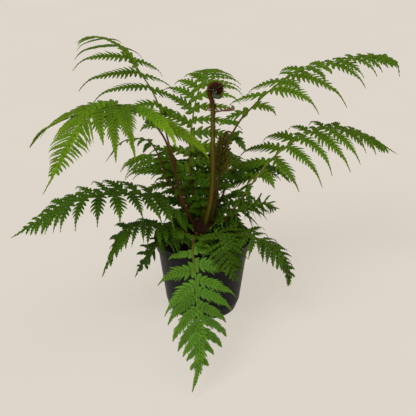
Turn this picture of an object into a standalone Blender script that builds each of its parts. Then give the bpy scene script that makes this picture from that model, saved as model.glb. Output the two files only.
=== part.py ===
"""A potted Australian tree fern: nursery pot, potting mix, scaly crown, fronds and unrolling heads."""
import math

import bmesh
import bpy
from mathutils import Vector, noise
from mathutils.bvhtree import BVHTree

# Pot, in metres
POT_HEIGHT = 0.150
FOOT_RADIUS = 0.0645
CHAMFER_RADIUS = 0.072
CHAMFER_HEIGHT = 0.020
WALL_TOP_RADIUS = 0.087
BAND_RADIUS = 0.0905
BAND_HEIGHT = 0.022
RIM_RADIUS = 0.095
LIP_HEIGHT = 0.004
LIP_WIDTH = 0.0045
POT_WALL = 0.0018
CORNER = 0.0006
POT_SEGMENTS = 24
DRAIN_RADIUS = 0.0065
DRAIN_RING = 0.045
DRAIN_COUNT = 6

# Soil and crown
SOIL_TOP = 0.134
SOIL_DOME = 0.004
SOIL_EDGE = 0.003
SOIL_ROUGHNESS = 0.0022
SOIL_SEGMENTS = 12
SEAT_GAP = 0.0004
CROWN_RADIUS = 0.027
CROWN_BOTTOM = 0.108
CROWN_SHOULDER = 0.166
CROWN_TOP = 0.180
CROWN_SEGMENTS = 12
CROWN_RINGS = 6
CROWN_SCALES = 9
CROWN_ROUGHNESS = 0.0016

# Where the stalks stand in the crown: a ring round its axis, and heights in three tiers
ROOT_RING = 0.0165
TIER_LOW = 0.142
TIER_MIDDLE = 0.155
TIER_HIGH = 0.168
CENTRE_STEP = 0.052
LEAST_CENTRES = 8
STEM_CENTRES = 6
STALK_END = 0.94
SOCKET_GAP = 0.0006

# Blades
STALK_RADIUS = 0.0031
STALK_TIP_RADIUS = 0.0009
STALK_THINNING = 0.6
RIB_HALF_WIDTH = 0.0009
RIB_HEIGHT = 0.0017
TOOTH_PITCH = 0.024
TOOTH_SHARE = 0.155
TOOTH_FORWARD = 0.36
TOOTH_DROOP = 0.12
MOST_TEETH = 5
LONGEST_TOOTH = 0.0115
END_LEAF_TEETH = 3
END_LEAF_TOOTH = 0.008
LEAF_NECK = 0.0045
MILLIMETRE = 0.001
LEFT_OFFSET = 0.28
RIGHT_OFFSET = 0.62
LEAF_CROWDING = 0.92
WIDEST = 0.26
TIP_SHORTENING = 0.90
TIP_POWER = 1.35
CLEARANCE = 0.0012
FLOOR_CLEARANCE = 0.002
BLADE_SCALES = (1.0, 0.86, 0.72, 0.58, 0.45)
BLADE_LIFTS = (0, 12, -12, 24, -24, 38, -38)
BLADE_SWEEPS = (0, 10, -10)


def row(lengths, sweeps, lift, droop):
    """The side leaves on one side of a midrib, from the crown outwards: their lengths in
    millimetres, forward angles and lifts in degrees, and how far they hang in radians. All but
    the lengths may be one value or a few that the row runs through."""
    return dict(lengths=lengths, sweeps=sweeps, lift=lift, droop=droop)


def tapered(count, offset, reach, first):
    """Lengths that grow up to a quarter of the way out and then shrink towards the tip."""
    lengths = []
    for i in range(count):
        out = (i + offset) / count
        rise = min(1.0, first + (1.0 - first) * out / WIDEST)
        fall = 1.0 - TIP_SHORTENING * max(0.0, (out - WIDEST) / (1.0 - WIDEST)) ** TIP_POWER
        lengths.append(reach * rise * fall)
    return lengths


def both(count, reach, first, sweep, droop):
    """A left and a right row of the same kind."""
    sweeps = (0.4 * sweep, 1.4 * sweep)
    return dict(left=row(tapered(count, LEFT_OFFSET, reach, first), sweeps, 0, droop),
                right=row(tapered(count, RIGHT_OFFSET, reach, first), sweeps, 0, droop))


# Each frond: azimuth and height of its root, the share of the stalk that is bare, its side
# leaves, and the points that the midrib passes through. Where they aren't as on the rest, also
# how its leaves crowd towards the tip, and where in each step its left leaves stand
FRONDS = {
    "frond_front": dict(
        root=(262, TIER_MIDDLE), bare=0.22,
        left=row((50, 68, 84, 76, 64, 62, 52, 36, 24, 12), (4, 16, 36, 42, 46), 0, 0.45),
        right=row((48, 78, 84, 80, 76, 68, 54, 38, 24, 12),
                  (-4, -4, 36, 42, 45, 48, 48, 48, 46), 0, 0.45),
        route=[(-0.011, -0.045, 0.172), (-0.018, -0.095, 0.171), (-0.016, -0.125, 0.156),
               (-0.012, -0.155, 0.132), (-0.010, -0.192, 0.112), (-0.006, -0.232, 0.094),
               (-0.004, -0.278, 0.070), (-0.007, -0.310, 0.042), (-0.017, -0.338, 0.012)]),
    "frond_left_arching": dict(
        root=(212, TIER_HIGH), bare=0.44, crowding=0.80,
        left=row((140, 140, 166, 140, 86, 64, 54, 44, 34, 24, 14), (-46, 22, 40, 26, 14, 16, 30),
                 (20, 0, 0, 0, 0, 0, 0), (0.70, 0.70, 1.15, 0.60, 0.45, 0.35, 0.30)),
        right=row((60, 222, 168, 118, 92, 75, 62, 48, 35, 24, 14), (42, 42, 30, 24, 30),
                  (-12, -12, -8, -4, 0), (0.90, 0.85, 0.35, 0.25)),
        route=[(-0.032, -0.014, 0.212), (-0.043, -0.020, 0.252), (-0.057, -0.028, 0.314),
               (-0.067, -0.038, 0.356), (-0.082, -0.050, 0.387), (-0.100, -0.064, 0.415),
               (-0.122, -0.082, 0.434), (-0.154, -0.108, 0.447), (-0.185, -0.140, 0.443),
               (-0.206, -0.166, 0.428), (-0.230, -0.205, 0.390), (-0.243, -0.222, 0.367),
               (-0.263, -0.244, 0.333)]),
    "frond_high_right": dict(
        root=(52, TIER_HIGH), bare=0.37,
        left=row((70, 95, 105, 62, 48, 40, 28, 16), (-42, 10), 6, 0.52),
        right=row((56, 130, 152, 52, 104, 80, 52, 30), (20, 46), 0, (0.60, 0.75, 1.00, 1.00, 0.60)),
        route=[(0.024, 0.024, 0.224), (0.043, 0.045, 0.309), (0.056, 0.060, 0.336),
               (0.074, 0.075, 0.362), (0.092, 0.090, 0.377), (0.120, 0.105, 0.401),
               (0.154, 0.120, 0.424), (0.177, 0.130, 0.439), (0.230, 0.145, 0.449),
               (0.270, 0.155, 0.457), (0.309, 0.160, 0.464), (0.349, 0.165, 0.462),
               (0.381, 0.165, 0.448), (0.390, 0.162, 0.420)]),
    "frond_right": dict(
        root=(8, TIER_MIDDLE), bare=0.27,
        left=row((115, 125, 130, 95, 82, 70, 58, 46, 32, 20), (-35, 30), (2, 18, 18, 14, 6),
                 (0.75, 0.85, 1.00, 0.90, 0.70)),
        right=row((54, 106, 140, 118, 134, 116, 76, 66, 44, 24), (-8, 44), 0, 0.92),
        route=[(0.034, 0.006, 0.172), (0.057, 0.022, 0.192), (0.077, 0.036, 0.215),
               (0.104, 0.056, 0.247), (0.135, 0.076, 0.279), (0.171, 0.094, 0.304),
               (0.219, 0.115, 0.323), (0.263, 0.130, 0.323), (0.330, 0.145, 0.303),
               (0.395, 0.150, 0.262)]),
    "frond_back_left": dict(
        root=(148, TIER_HIGH), bare=0.36, left_offset=0.80,
        left=row((60, 100, 148, 150, 144, 120, 72, 30), (9, 30), 5, 0.50),
        right=row((100, 102, 100, 96, 86, 72, 54, 32), (-32, -8), -5, 0.60),
        route=[(-0.032, 0.021, 0.222), (-0.061, 0.045, 0.305), (-0.078, 0.066, 0.372),
               (-0.097, 0.085, 0.415), (-0.117, 0.100, 0.442), (-0.150, 0.125, 0.484),
               (-0.189, 0.140, 0.503), (-0.222, 0.152, 0.503), (-0.250, 0.160, 0.489)]),
    "frond_low_left": dict(
        root=(202, TIER_LOW), bare=0.22,
        left=row((60, 90, 96, 90, 80, 84, 80, 72, 58, 40, 24), (5, 0, 25, 38), 0, 0.75),
        right=row((60, 72, 80, 82, 78, 72, 62, 52, 40, 28, 16), (8, 36), 20, 0.85),
        route=[(-0.045, -0.028, 0.200), (-0.070, -0.046, 0.234), (-0.097, -0.062, 0.258),
               (-0.127, -0.080, 0.270), (-0.161, -0.095, 0.275), (-0.196, -0.105, 0.275),
               (-0.244, -0.115, 0.262), (-0.280, -0.120, 0.243), (-0.346, -0.126, 0.202)]),
    "frond_back_centre": dict(
        root=(114, TIER_HIGH), bare=0.26,
        left=row((82, 95, 108, 108, 100, 92, 80, 64, 48, 26), (8, 24, 34, 28), 0, 0.65),
        right=row((86, 99, 112, 106, 98, 92, 88, 80, 60, 34), (8, 28), 0, 0.65),
        route=[(-0.016, 0.026, 0.212), (-0.025, 0.048, 0.274), (-0.025, 0.065, 0.314),
               (-0.021, 0.088, 0.350), (-0.014, 0.115, 0.384), (-0.004, 0.147, 0.410),
               (0.010, 0.190, 0.424), (0.028, 0.240, 0.416)]),
    "frond_stunted_left": dict(
        root=(180, TIER_HIGH), bare=0.60,
        left=row((36, 24, 14, 12, 11, 10, 9), (8, 28), 0, 1.0),
        right=row((30, 16, 12, 11, 10, 9, 8), (8, 28), 0, 1.0),
        route=[(-0.030, 0.000, 0.200), (-0.051, 0.002, 0.238), (-0.068, 0.004, 0.271),
               (-0.078, 0.005, 0.297), (-0.088, 0.008, 0.322), (-0.100, 0.012, 0.338),
               (-0.124, 0.020, 0.341), (-0.156, 0.025, 0.330), (-0.186, 0.030, 0.290)]),
    "frond_short_left": dict(
        root=(228, TIER_LOW), bare=0.20, **both(8, 64, 0.80, 24, 0.80),
        route=[(-0.040, -0.036, 0.180), (-0.084, -0.056, 0.196), (-0.121, -0.067, 0.202),
               (-0.148, -0.073, 0.190), (-0.169, -0.078, 0.154), (-0.190, -0.082, 0.100)]),
    "frond_short_right": dict(
        root=(332, TIER_LOW), bare=0.18, **both(8, 60, 0.80, 24, 0.80),
        route=[(0.040, -0.020, 0.166), (0.072, -0.045, 0.174), (0.102, -0.062, 0.172),
               (0.129, -0.075, 0.161), (0.150, -0.086, 0.145), (0.162, -0.092, 0.121),
               (0.160, -0.096, 0.087)]),
    "frond_short_front": dict(
        root=(304, TIER_LOW), bare=0.16, **both(8, 64, 0.85, 24, 0.60),
        route=[(0.022, -0.034, 0.168), (0.032, -0.064, 0.183), (0.038, -0.090, 0.180),
               (0.044, -0.107, 0.166), (0.051, -0.118, 0.147), (0.060, -0.124, 0.128),
               (0.070, -0.126, 0.108)]),
    "frond_rim_left": dict(
        root=(252, TIER_LOW), bare=0.18, **both(7, 48, 0.90, 24, 0.60),
        route=[(-0.028, -0.038, 0.163), (-0.052, -0.066, 0.177), (-0.077, -0.086, 0.176),
               (-0.097, -0.098, 0.162), (-0.114, -0.104, 0.138), (-0.126, -0.107, 0.112)]),
    "frond_inner_left": dict(
        root=(164, TIER_MIDDLE), bare=0.20, **both(7, 70, 0.90, 24, 0.50),
        route=[(-0.036, 0.012, 0.190), (-0.046, 0.020, 0.226), (-0.055, 0.026, 0.262),
               (-0.066, 0.034, 0.292), (-0.080, 0.042, 0.312), (-0.102, 0.050, 0.320)]),
    "frond_inner_back": dict(
        root=(82, TIER_HIGH), bare=0.24, **both(7, 75, 0.90, 24, 0.50),
        route=[(0.001, 0.026, 0.196), (-0.002, 0.038, 0.232), (-0.004, 0.054, 0.262),
               (-0.006, 0.078, 0.286), (-0.010, 0.108, 0.294), (-0.014, 0.140, 0.284)]),
    "frond_inner_right": dict(
        root=(344, TIER_MIDDLE), bare=0.16, **both(7, 66, 0.90, 24, 0.60),
        route=[(0.040, -0.006, 0.180), (0.064, -0.004, 0.199), (0.091, 0.000, 0.212),
               (0.117, 0.002, 0.215), (0.148, 0.000, 0.205)]),
    "frond_back_right": dict(
        root=(52, TIER_LOW), bare=0.30, **both(6, 82, 0.85, 24, 0.60),
        route=[(0.028, 0.038, 0.186), (0.046, 0.074, 0.222), (0.066, 0.103, 0.238),
               (0.091, 0.132, 0.243), (0.120, 0.160, 0.236), (0.155, 0.190, 0.212),
               (0.185, 0.212, 0.174)]),
    "frond_rear_left": dict(
        root=(136, TIER_LOW), bare=0.30, **both(5, 85, 0.80, 24, 0.70),
        route=[(-0.034, 0.032, 0.184), (-0.062, 0.072, 0.232), (-0.088, 0.112, 0.256),
               (-0.112, 0.152, 0.258), (-0.134, 0.196, 0.236), (-0.150, 0.238, 0.188)]),
    "frond_rear_right": dict(
        root=(94, TIER_LOW), bare=0.30, **both(5, 85, 0.80, 24, 0.70),
        route=[(0.000, 0.046, 0.182), (0.010, 0.090, 0.226), (0.022, 0.132, 0.250),
               (0.038, 0.176, 0.252), (0.056, 0.222, 0.228), (0.070, 0.262, 0.180)]),
}

# The crozier: a thick stalk that ends in a rolled head
CROZIER_ROUTE = [(0.003, -0.003, 0.158), (0.008, -0.009, 0.190), (0.015, -0.013, 0.223),
                 (0.019, -0.015, 0.281), (0.019, -0.015, 0.339), (0.019, -0.015, 0.426)]
CROZIER_RADIUS = 0.0056
CROZIER_NECK_RADIUS = 0.0036
ROLL_RADIUS = 0.0140
ROLL_CORE_RADIUS = 0.0042
ROLL_TURNS = 1.7
ROLL_TUBE_RADIUS = 0.0031
ROLL_TIP_RADIUS = 0.0017
ROLL_POINTS = 18
BUD_COUNT = 6
BUD_LENGTH = 0.0095
BUD_RADIUS = 0.0026
SIDE_BUD_RADII = [0.0014, 0.0013, 0.0013, 0.0022, 0.0034, 0.0016]
SIDE_BUD_ROUTE = [(0.020, -0.015, 0.404), (0.032, -0.017, 0.407), (0.048, -0.020, 0.410),
                  (0.056, -0.022, 0.414), (0.053, -0.022, 0.419)]

# The young frond: its stalk is up and its side leaves are still folded
YOUNG_ROUTE = [(0.0155, 0.006, 0.169), (0.020, 0.010, 0.192), (0.025, 0.013, 0.220),
               (0.031, 0.014, 0.271), (0.036, 0.015, 0.320), (0.040, 0.015, 0.350)]
YOUNG_RADIUS = 0.0034
YOUNG_NECK_RADIUS = 0.0022
YOUNG_ROLL_RADIUS = 0.0085
YOUNG_CORE_RADIUS = 0.0032
YOUNG_TIP_RADIUS = 0.0013
YOUNG_TURNS = 1.25
YOUNG_POINTS = 10
FOLDED_PAIRS = 4
FOLDED_LENGTH = 0.034
FOLDED_RADIUS = 0.0042

# Colours and finishes from the photograph: red, green, blue, roughness
BLACK_PLASTIC = (0.030, 0.027, 0.032, 0.45)
POTTING_MIX = (0.040, 0.026, 0.016, 0.95)
SCALY_BROWN = (0.075, 0.028, 0.016, 0.85)
LEAF_GREEN = (0.085, 0.230, 0.025, 0.50)
UNROLLING_BROWN = (0.160, 0.060, 0.025, 0.70)

UP = Vector((0.0, 0.0, 1.0))
# Where the side leaves turn their upper faces, towards the light, and how strongly
FACING = Vector((-0.10, -0.45, 0.89))
FACING_SHARE = 0.6


def clear_scene():
    for item in list(bpy.data.objects):
        bpy.data.objects.remove(item)


def new_collection(name):
    collection = bpy.data.collections.new(name)
    bpy.context.scene.collection.children.link(collection)
    return collection


def material(name, finish):
    made = bpy.data.materials.new(name)
    made.use_nodes = True
    shader = made.node_tree.nodes["Principled BSDF"]
    shader.inputs["Base Color"].default_value = (*finish[:3], 1.0)
    shader.inputs["Roughness"].default_value = finish[3]
    shader.inputs["Metallic"].default_value = 0.0
    return made


def object_from_mesh(name, mesh, collection, finish=None):
    made = bpy.data.objects.new(name, mesh)
    collection.objects.link(made)
    if finish is not None:
        mesh.materials.clear()
        mesh.materials.append(finish)
    return made


def evaluated_mesh(item):
    bpy.context.view_layer.update()
    graph = bpy.context.evaluated_depsgraph_get()
    return bpy.data.meshes.new_from_object(item.evaluated_get(graph))


def apply_modifiers(item):
    """Replace an object's mesh by what its modifiers make of it."""
    mesh = evaluated_mesh(item)
    item.modifiers.clear()
    item.data = mesh
    return item


def boolean(item, operation, other, solver="EXACT"):
    """Join or cut an object by another object, or by every object of a collection."""
    modifier = item.modifiers.new("join_or_cut", "BOOLEAN")
    modifier.operation = operation
    modifier.solver = solver
    if isinstance(other, bpy.types.Collection):
        modifier.operand_type = "COLLECTION"
        modifier.collection = other
    else:
        modifier.object = other
    return modifier


def fuse(item, repeats):
    """Join every object of a collection to one body, and drop the collection."""
    boolean(item, "UNION", repeats, "MANIFOLD")
    apply_modifiers(item)
    for repeat in list(repeats.objects):
        bpy.data.objects.remove(repeat)
    bpy.data.collections.remove(repeats)
    return item


def turned(name, profile, segments, collection, finish):
    """A body turned about Z from a profile that runs down its outer side."""
    mesh = bpy.data.meshes.new(name)
    points = [(radius, 0.0, height) for radius, height in profile]
    edges = [(i, i + 1) for i in range(len(points) - 1)]
    if profile[0][0] > 0.0:
        edges.append((len(points) - 1, 0))
    mesh.from_pydata(points, edges, [])
    item = object_from_mesh(name, mesh, collection, finish)
    screw = item.modifiers.new("turn", "SCREW")
    screw.steps = segments
    screw.render_steps = segments
    screw.use_merge_vertices = True
    screw.merge_threshold = 0.00001
    return apply_modifiers(item)


def smooth_line(points, samples=160):
    """Evenly spaced points on one smooth curve through the given points."""
    knots = [Vector(point) for point in points]
    knots.insert(0, knots[0] * 2 - knots[1])
    knots.append(knots[-1] * 2 - knots[-2])
    dense = []
    for i in range(1, len(knots) - 2):
        before, start, end, after = knots[i - 1:i + 3]
        for step in range(24):
            t = step / 24
            dense.append(0.5 * (2 * start + (end - before) * t
                                + (2 * before - 5 * start + 4 * end - after) * t * t
                                + (3 * start - before - 3 * end + after) * t * t * t))
    dense.append(knots[-2])
    travelled = [0.0]
    for a, b in zip(dense, dense[1:]):
        travelled.append(travelled[-1] + (b - a).length)
    line = []
    k = 0
    for i in range(samples + 1):
        goal = travelled[-1] * i / samples
        while k < len(dense) - 2 and travelled[k + 1] < goal:
            k += 1
        share = (goal - travelled[k]) / max(travelled[k + 1] - travelled[k], 1e-9)
        line.append(dense[k].lerp(dense[k + 1], min(max(share, 0.0), 1.0)))
    return line


def along(line, share):
    """The point and the direction at a share of an evenly spaced line."""
    place = min(max(share, 0.0), 1.0) * (len(line) - 1)
    index = min(int(place), len(line) - 2)
    point = line[index].lerp(line[index + 1], place - index)
    ahead = line[min(index + 3, len(line) - 1)]
    behind = line[max(index - 2, 0)]
    return point, (ahead - behind).normalized()


def tube(name, centres, radii, collection, finish=None, resolution=1):
    """A closed tube with filled ends, from a bevelled curve with a radius at each point."""
    curve = bpy.data.curves.new(name, "CURVE")
    curve.dimensions = "3D"
    curve.bevel_depth = 1.0
    curve.bevel_resolution = resolution
    curve.use_fill_caps = True
    spline = curve.splines.new("POLY")
    spline.points.add(len(centres) - 1)
    for point, centre, radius in zip(spline.points, centres, radii):
        point.co = (*centre, 1.0)
        point.radius = radius
    wire = bpy.data.objects.new(name, curve)
    collection.objects.link(wire)
    mesh = evaluated_mesh(wire)
    bpy.data.objects.remove(wire)
    shape = bmesh.new()
    shape.from_mesh(mesh)
    bmesh.ops.remove_doubles(shape, verts=shape.verts, dist=0.00001)
    bmesh.ops.recalc_face_normals(shape, faces=shape.faces)
    shape.to_mesh(mesh)
    shape.free()
    return object_from_mesh(name, mesh, collection, finish)


def search_tree(item):
    shape = bmesh.new()
    shape.from_mesh(item.data)
    tree = BVHTree.FromBMesh(shape)
    shape.free()
    return tree


def arc(start, heading, length, droop, steps):
    """A line of given length that starts along heading and bends down more and more."""
    points = [start]
    for k in range(steps):
        bend = droop * (k + 0.5) / steps
        points.append(points[-1] + (heading - UP * bend).normalized() * (length / steps))
    return points


def blade_shape(spine, top_side, tooth_length):
    """Vertices and triangles of one side leaf, cut to its rib into pointed leaflets.

    The spine starts at the axis of the stalk and ends at the tip. At each point between them the
    rib has a ridge and two lower edges, and a leaflet stands on each side of each stretch of rib.
    """
    teeth = len(spine) - 3
    points = [spine[0]]
    for i in range(teeth + 1):
        share = i / (teeth + 1)
        heading = (spine[i + 2] - spine[i]).normalized()
        normal = (top_side - heading * top_side.dot(heading)).normalized()
        side = heading.cross(normal)
        half_width = RIB_HALF_WIDTH * (1.0 - 0.4 * share)
        ridge = RIB_HEIGHT * (1.0 - 0.45 * share)
        points += [spine[i + 1] + normal * ridge, spine[i + 1] - side * half_width,
                   spine[i + 1] + side * half_width]
    tip = len(points)
    points.append(spine[-1])
    faces = [(0, 1, 2), (0, 3, 1), (0, 2, 3)]
    for i in range(teeth):
        share = (i + 0.5) / (teeth + 0.5)
        heading = spine[i + 2] - spine[i + 1]
        pitch = heading.length
        heading.normalize()
        normal = (top_side - heading * top_side.dot(heading)).normalized()
        side = heading.cross(normal)
        length = tooth_length * (1.0 - 0.75 * share ** 1.6) * min(1.0, 0.75 + 1.2 * share)
        middle = spine[i + 1] + heading * (0.5 * pitch + TOOTH_FORWARD * length)
        middle = middle - normal * (TOOTH_DROOP * length)
        left = len(points)
        points += [middle - side * length, middle + side * length]
        right = left + 1
        ridge, low_left, low_right = 3 * i + 1, 3 * i + 2, 3 * i + 3
        next_ridge, next_left, next_right = ridge + 3, low_left + 3, low_right + 3
        faces += [(ridge, next_ridge, left), (ridge, left, low_left),
                  (next_ridge, next_left, left), (low_left, left, next_left)]
        faces += [(ridge, right, next_ridge), (ridge, low_right, right),
                  (next_ridge, right, next_right), (low_right, next_right, right)]
        faces += [(low_left, next_left, next_right), (low_left, next_right, low_right)]
    ridge, low_left, low_right = tip - 3, tip - 2, tip - 1
    faces += [(ridge, tip, low_left), (ridge, low_right, tip), (low_left, tip, low_right)]
    return points, faces


def blade_object(name, shape, collection):
    points, faces = shape
    mesh = bpy.data.meshes.new(name)
    mesh.from_pydata(points, [], faces)
    item = object_from_mesh(name, mesh, collection)
    solid = bmesh.new()
    solid.from_mesh(mesh)
    bmesh.ops.recalc_face_normals(solid, faces=solid.faces)
    solid.to_mesh(mesh)
    solid.free()
    return item


def box_of(points):
    low = [min(point[k] for point in points) - CLEARANCE for k in range(3)]
    high = [max(point[k] for point in points) + CLEARANCE for k in range(3)]
    return low, high


def boxes_meet(one, two):
    return all(one[0][k] <= two[1][k] and two[0][k] <= one[1][k] for k in range(3))


def is_clear(shape, top_side, obstacles):
    """Whether a side leaf, and the same leaf a little higher and lower, touches nothing."""
    points, faces = shape
    if min(point.z for point in points) < FLOOR_CLEARANCE:
        return False
    box = box_of(points)
    near = [tree for tree, other in obstacles if boxes_meet(box, other)]
    if not near:
        return True
    for shift in (0.0, CLEARANCE, -CLEARANCE):
        moved = BVHTree.FromPolygons([point + top_side * shift for point in points], faces)
        if any(moved.overlap(tree) for tree in near):
            return False
    return True


def obstacle(item):
    return search_tree(item), box_of([vertex.co for vertex in item.data.vertices])


def midrib(plan):
    azimuth, height = plan["root"]
    turn = math.radians(azimuth)
    root = (ROOT_RING * math.cos(turn), ROOT_RING * math.sin(turn), height)
    return smooth_line([root] + plan["route"])


def stalk_radius(share):
    return STALK_RADIUS + (STALK_TIP_RADIUS - STALK_RADIUS) * share ** STALK_THINNING


def stalk_count(line):
    """How many centres a stalk of this length is bent at."""
    total = sum((b - a).length for a, b in zip(line, line[1:]))
    return max(LEAST_CENTRES, round(total / CENTRE_STEP) + 1)


def evenly(line, count, end=1.0):
    """Points at even steps along a line, up to a share of its length."""
    return [along(line, end * i / (count - 1))[0] for i in range(count)]


def on_stalk(centres, share):
    """The point of the stalk's own axis, which is straight between its centres."""
    place = min(share / STALK_END, 1.0) * (len(centres) - 1)
    index = min(int(place), len(centres) - 2)
    return centres[index].lerp(centres[index + 1], place - index)


def stalk_radii(centres):
    return [stalk_radius(i / (len(centres) - 1)) for i in range(len(centres))]


def frond_stalk(name, centres, collection, finish=None):
    return tube(name, centres, stalk_radii(centres), collection, finish, resolution=0)


def end_leaf(line, centres):
    """The blade that the midrib runs out into."""
    spine = [on_stalk(centres, STALK_END - 0.01)]
    steps = END_LEAF_TEETH + 1
    spine += [along(line, STALK_END + 0.004 + (0.996 - STALK_END) * i / steps)[0]
              for i in range(steps + 1)]
    heading = along(line, 1.0)[1]
    normal = (UP - heading * UP.dot(heading)).normalized()
    return blade_shape(spine, normal, END_LEAF_TOOTH)


def socket_cutter(name, centres, radii, collection, resolution):
    """A fat copy of a stalk, which cuts its hole in the crown."""
    places = list(centres)
    places[0] = places[0] + (places[0] - places[1]).normalized() * SOCKET_GAP
    cutter = tube(name, places, [radius + SOCKET_GAP for radius in radii], collection,
                  resolution=resolution)
    cutter.hide_render = True
    cutter.display_type = "WIRE"
    return cutter


def value_at(values, out):
    """A value along a row of side leaves: one for all, or in even steps through a few."""
    if not isinstance(values, tuple):
        return values
    place = out * (len(values) - 1)
    step = min(int(place), len(values) - 2)
    return values[step] + (values[step + 1] - values[step]) * (place - step)


def side_leaves(plan, line, centres):
    """Row, root, heading frame and length of each side leaf, in order from the crown to the tip."""
    count = len(plan["left"]["lengths"])
    for i in range(count):
        for hand, leaves, offset in ((-1, plan["left"], plan.get("left_offset", LEFT_OFFSET)),
                                     (1, plan["right"], RIGHT_OFFSET)):
            out = (i + offset) / count
            crowded = out ** plan.get("crowding", LEAF_CROWDING)
            share = plan["bare"] + (STALK_END - plan["bare"]) * crowded
            heading = along(line, share)[1]
            normal = (UP - heading * UP.dot(heading)).normalized()
            side = heading.cross(normal) * hand
            length = leaves["lengths"][i] * MILLIMETRE
            yield hand, leaves, out, on_stalk(centres, share), heading, side, normal, length


def leaf_try(leaf, scale, lift, sweep):
    """The solid of one side leaf for one choice of its size and angles."""
    leaves, out, point, heading, side, normal, length = leaf[1:]
    forward = math.radians(value_at(leaves["sweeps"], out) + sweep)
    rise = math.radians(value_at(leaves["lift"], out) + lift)
    flat = side * math.cos(forward) + heading * math.sin(forward)
    aim = flat * math.cos(rise) + normal * math.sin(rise)
    size = length * scale
    teeth = max(2, min(MOST_TEETH, round(size / TOOTH_PITCH)))
    droop = value_at(leaves["droop"], out)
    spine = [point] + arc(point + aim * LEAF_NECK, aim, size - LEAF_NECK, droop, teeth + 1)
    facing = normal.lerp(FACING, FACING_SHARE)
    top_side = (facing - aim * facing.dot(aim)).normalized()
    return blade_shape(spine, top_side, min(TOOTH_SHARE * size, LONGEST_TOOTH)), top_side


def placed_leaf(leaf, others, own):
    """The first choice of a side leaf that touches nothing, or None."""
    for scale in BLADE_SCALES:
        for lift in BLADE_LIFTS:
            for sweep in BLADE_SWEEPS:
                shape, top_side = leaf_try(leaf, scale, lift, sweep)
                if is_clear(shape, top_side, others + own):
                    return shape
    return None


def frond(name, plan, line, centres, obstacles, collection, finish):
    """Grow the side leaves of one frond on its stalk and fuse them into one body."""
    leaves = new_collection(name + "_leaves")
    others = [entry for owner, entry in obstacles if owner != name]
    own = {-1: [], 1: []}
    grown = []
    for leaf in side_leaves(plan, line, centres):
        hand = leaf[0]
        shape = placed_leaf(leaf, others, own[hand])
        if shape is None:
            continue
        item = blade_object(name + "_leaf", shape, leaves)
        entry = obstacle(item)
        own[hand].append(entry)
        grown.append((name, entry))
    blade_object(name + "_end", end_leaf(line, centres), leaves)
    stalk = frond_stalk(name, centres, collection, finish)
    fuse(stalk, leaves)
    return grown


def make_pot(collection, cutters, finish):
    """A thin nursery pot: chamfered foot, a wider band under the rim, a rolled lip, drain holes."""
    band_bottom = POT_HEIGHT - BAND_HEIGHT
    lip_bottom = POT_HEIGHT - LIP_HEIGHT
    profile = [
        (0.0, POT_WALL), (FOOT_RADIUS - POT_WALL, POT_WALL),
        (CHAMFER_RADIUS - POT_WALL, CHAMFER_HEIGHT + CORNER),
        (WALL_TOP_RADIUS - POT_WALL, band_bottom + CORNER),
        (BAND_RADIUS - POT_WALL, band_bottom + POT_WALL), (RIM_RADIUS - LIP_WIDTH, POT_HEIGHT),
        (RIM_RADIUS - CORNER, POT_HEIGHT), (RIM_RADIUS, POT_HEIGHT - CORNER),
        (RIM_RADIUS, lip_bottom), (RIM_RADIUS - 3.0 * CORNER, lip_bottom - CORNER),
        (BAND_RADIUS, band_bottom), (WALL_TOP_RADIUS, band_bottom - CORNER),
        (CHAMFER_RADIUS, CHAMFER_HEIGHT), (FOOT_RADIUS, 0.0), (0.0, 0.0)]
    pot = turned("pot", profile, POT_SEGMENTS, collection, finish)
    holes = new_collection("drain_holes")
    cutters.children.link(holes)
    bpy.context.scene.collection.children.unlink(holes)
    for i in range(DRAIN_COUNT):
        turn = 2.0 * math.pi * (i + 0.5) / DRAIN_COUNT
        bpy.ops.mesh.primitive_cylinder_add(
            vertices=8, radius=DRAIN_RADIUS, depth=CHAMFER_HEIGHT,
            location=(DRAIN_RING * math.cos(turn), DRAIN_RING * math.sin(turn), 0.0))
        hole = bpy.context.object
        hole.name = "drain_hole"
        bpy.context.collection.objects.unlink(hole)
        holes.objects.link(hole)
        hole.hide_render = True
        hole.display_type = "WIRE"
    boolean(pot, "DIFFERENCE", holes)
    return apply_modifiers(pot)


def make_soil(collection, finish):
    """Potting mix that fills the pot, with a blind hole for the crown and a crumbly top."""
    gap = SEAT_GAP
    bore = CROWN_RADIUS + gap + CROWN_ROUGHNESS
    shoulder = POT_HEIGHT - BAND_HEIGHT - SOIL_EDGE
    slope = (WALL_TOP_RADIUS - CHAMFER_RADIUS) / (POT_HEIGHT - BAND_HEIGHT - CHAMFER_HEIGHT)
    wall = WALL_TOP_RADIUS - POT_WALL - gap - slope * (SOIL_EDGE + POT_WALL)
    profile = [
        (0.0, CROWN_BOTTOM - gap), (bore, CROWN_BOTTOM - gap), (bore, SOIL_TOP + SOIL_DOME),
        (bore * 0.6 + wall * 0.4, SOIL_TOP + SOIL_DOME * 0.5), (wall * 0.86, SOIL_TOP - SOIL_DOME),
        (wall, shoulder),
        (CHAMFER_RADIUS - POT_WALL - gap, CHAMFER_HEIGHT + 0.001),
        (FOOT_RADIUS - POT_WALL - gap - 0.002, POT_WALL + gap), (0.0, POT_WALL + gap)]
    soil = turned("soil", profile, SOIL_SEGMENTS, collection, finish)
    for vertex in soil.data.vertices:
        radius = math.hypot(vertex.co.x, vertex.co.y)
        if vertex.co.z > shoulder and bore + 0.001 < radius < wall - 0.001:
            vertex.co.z += SOIL_ROUGHNESS * noise.noise(vertex.co * 90.0)
    return soil


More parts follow.
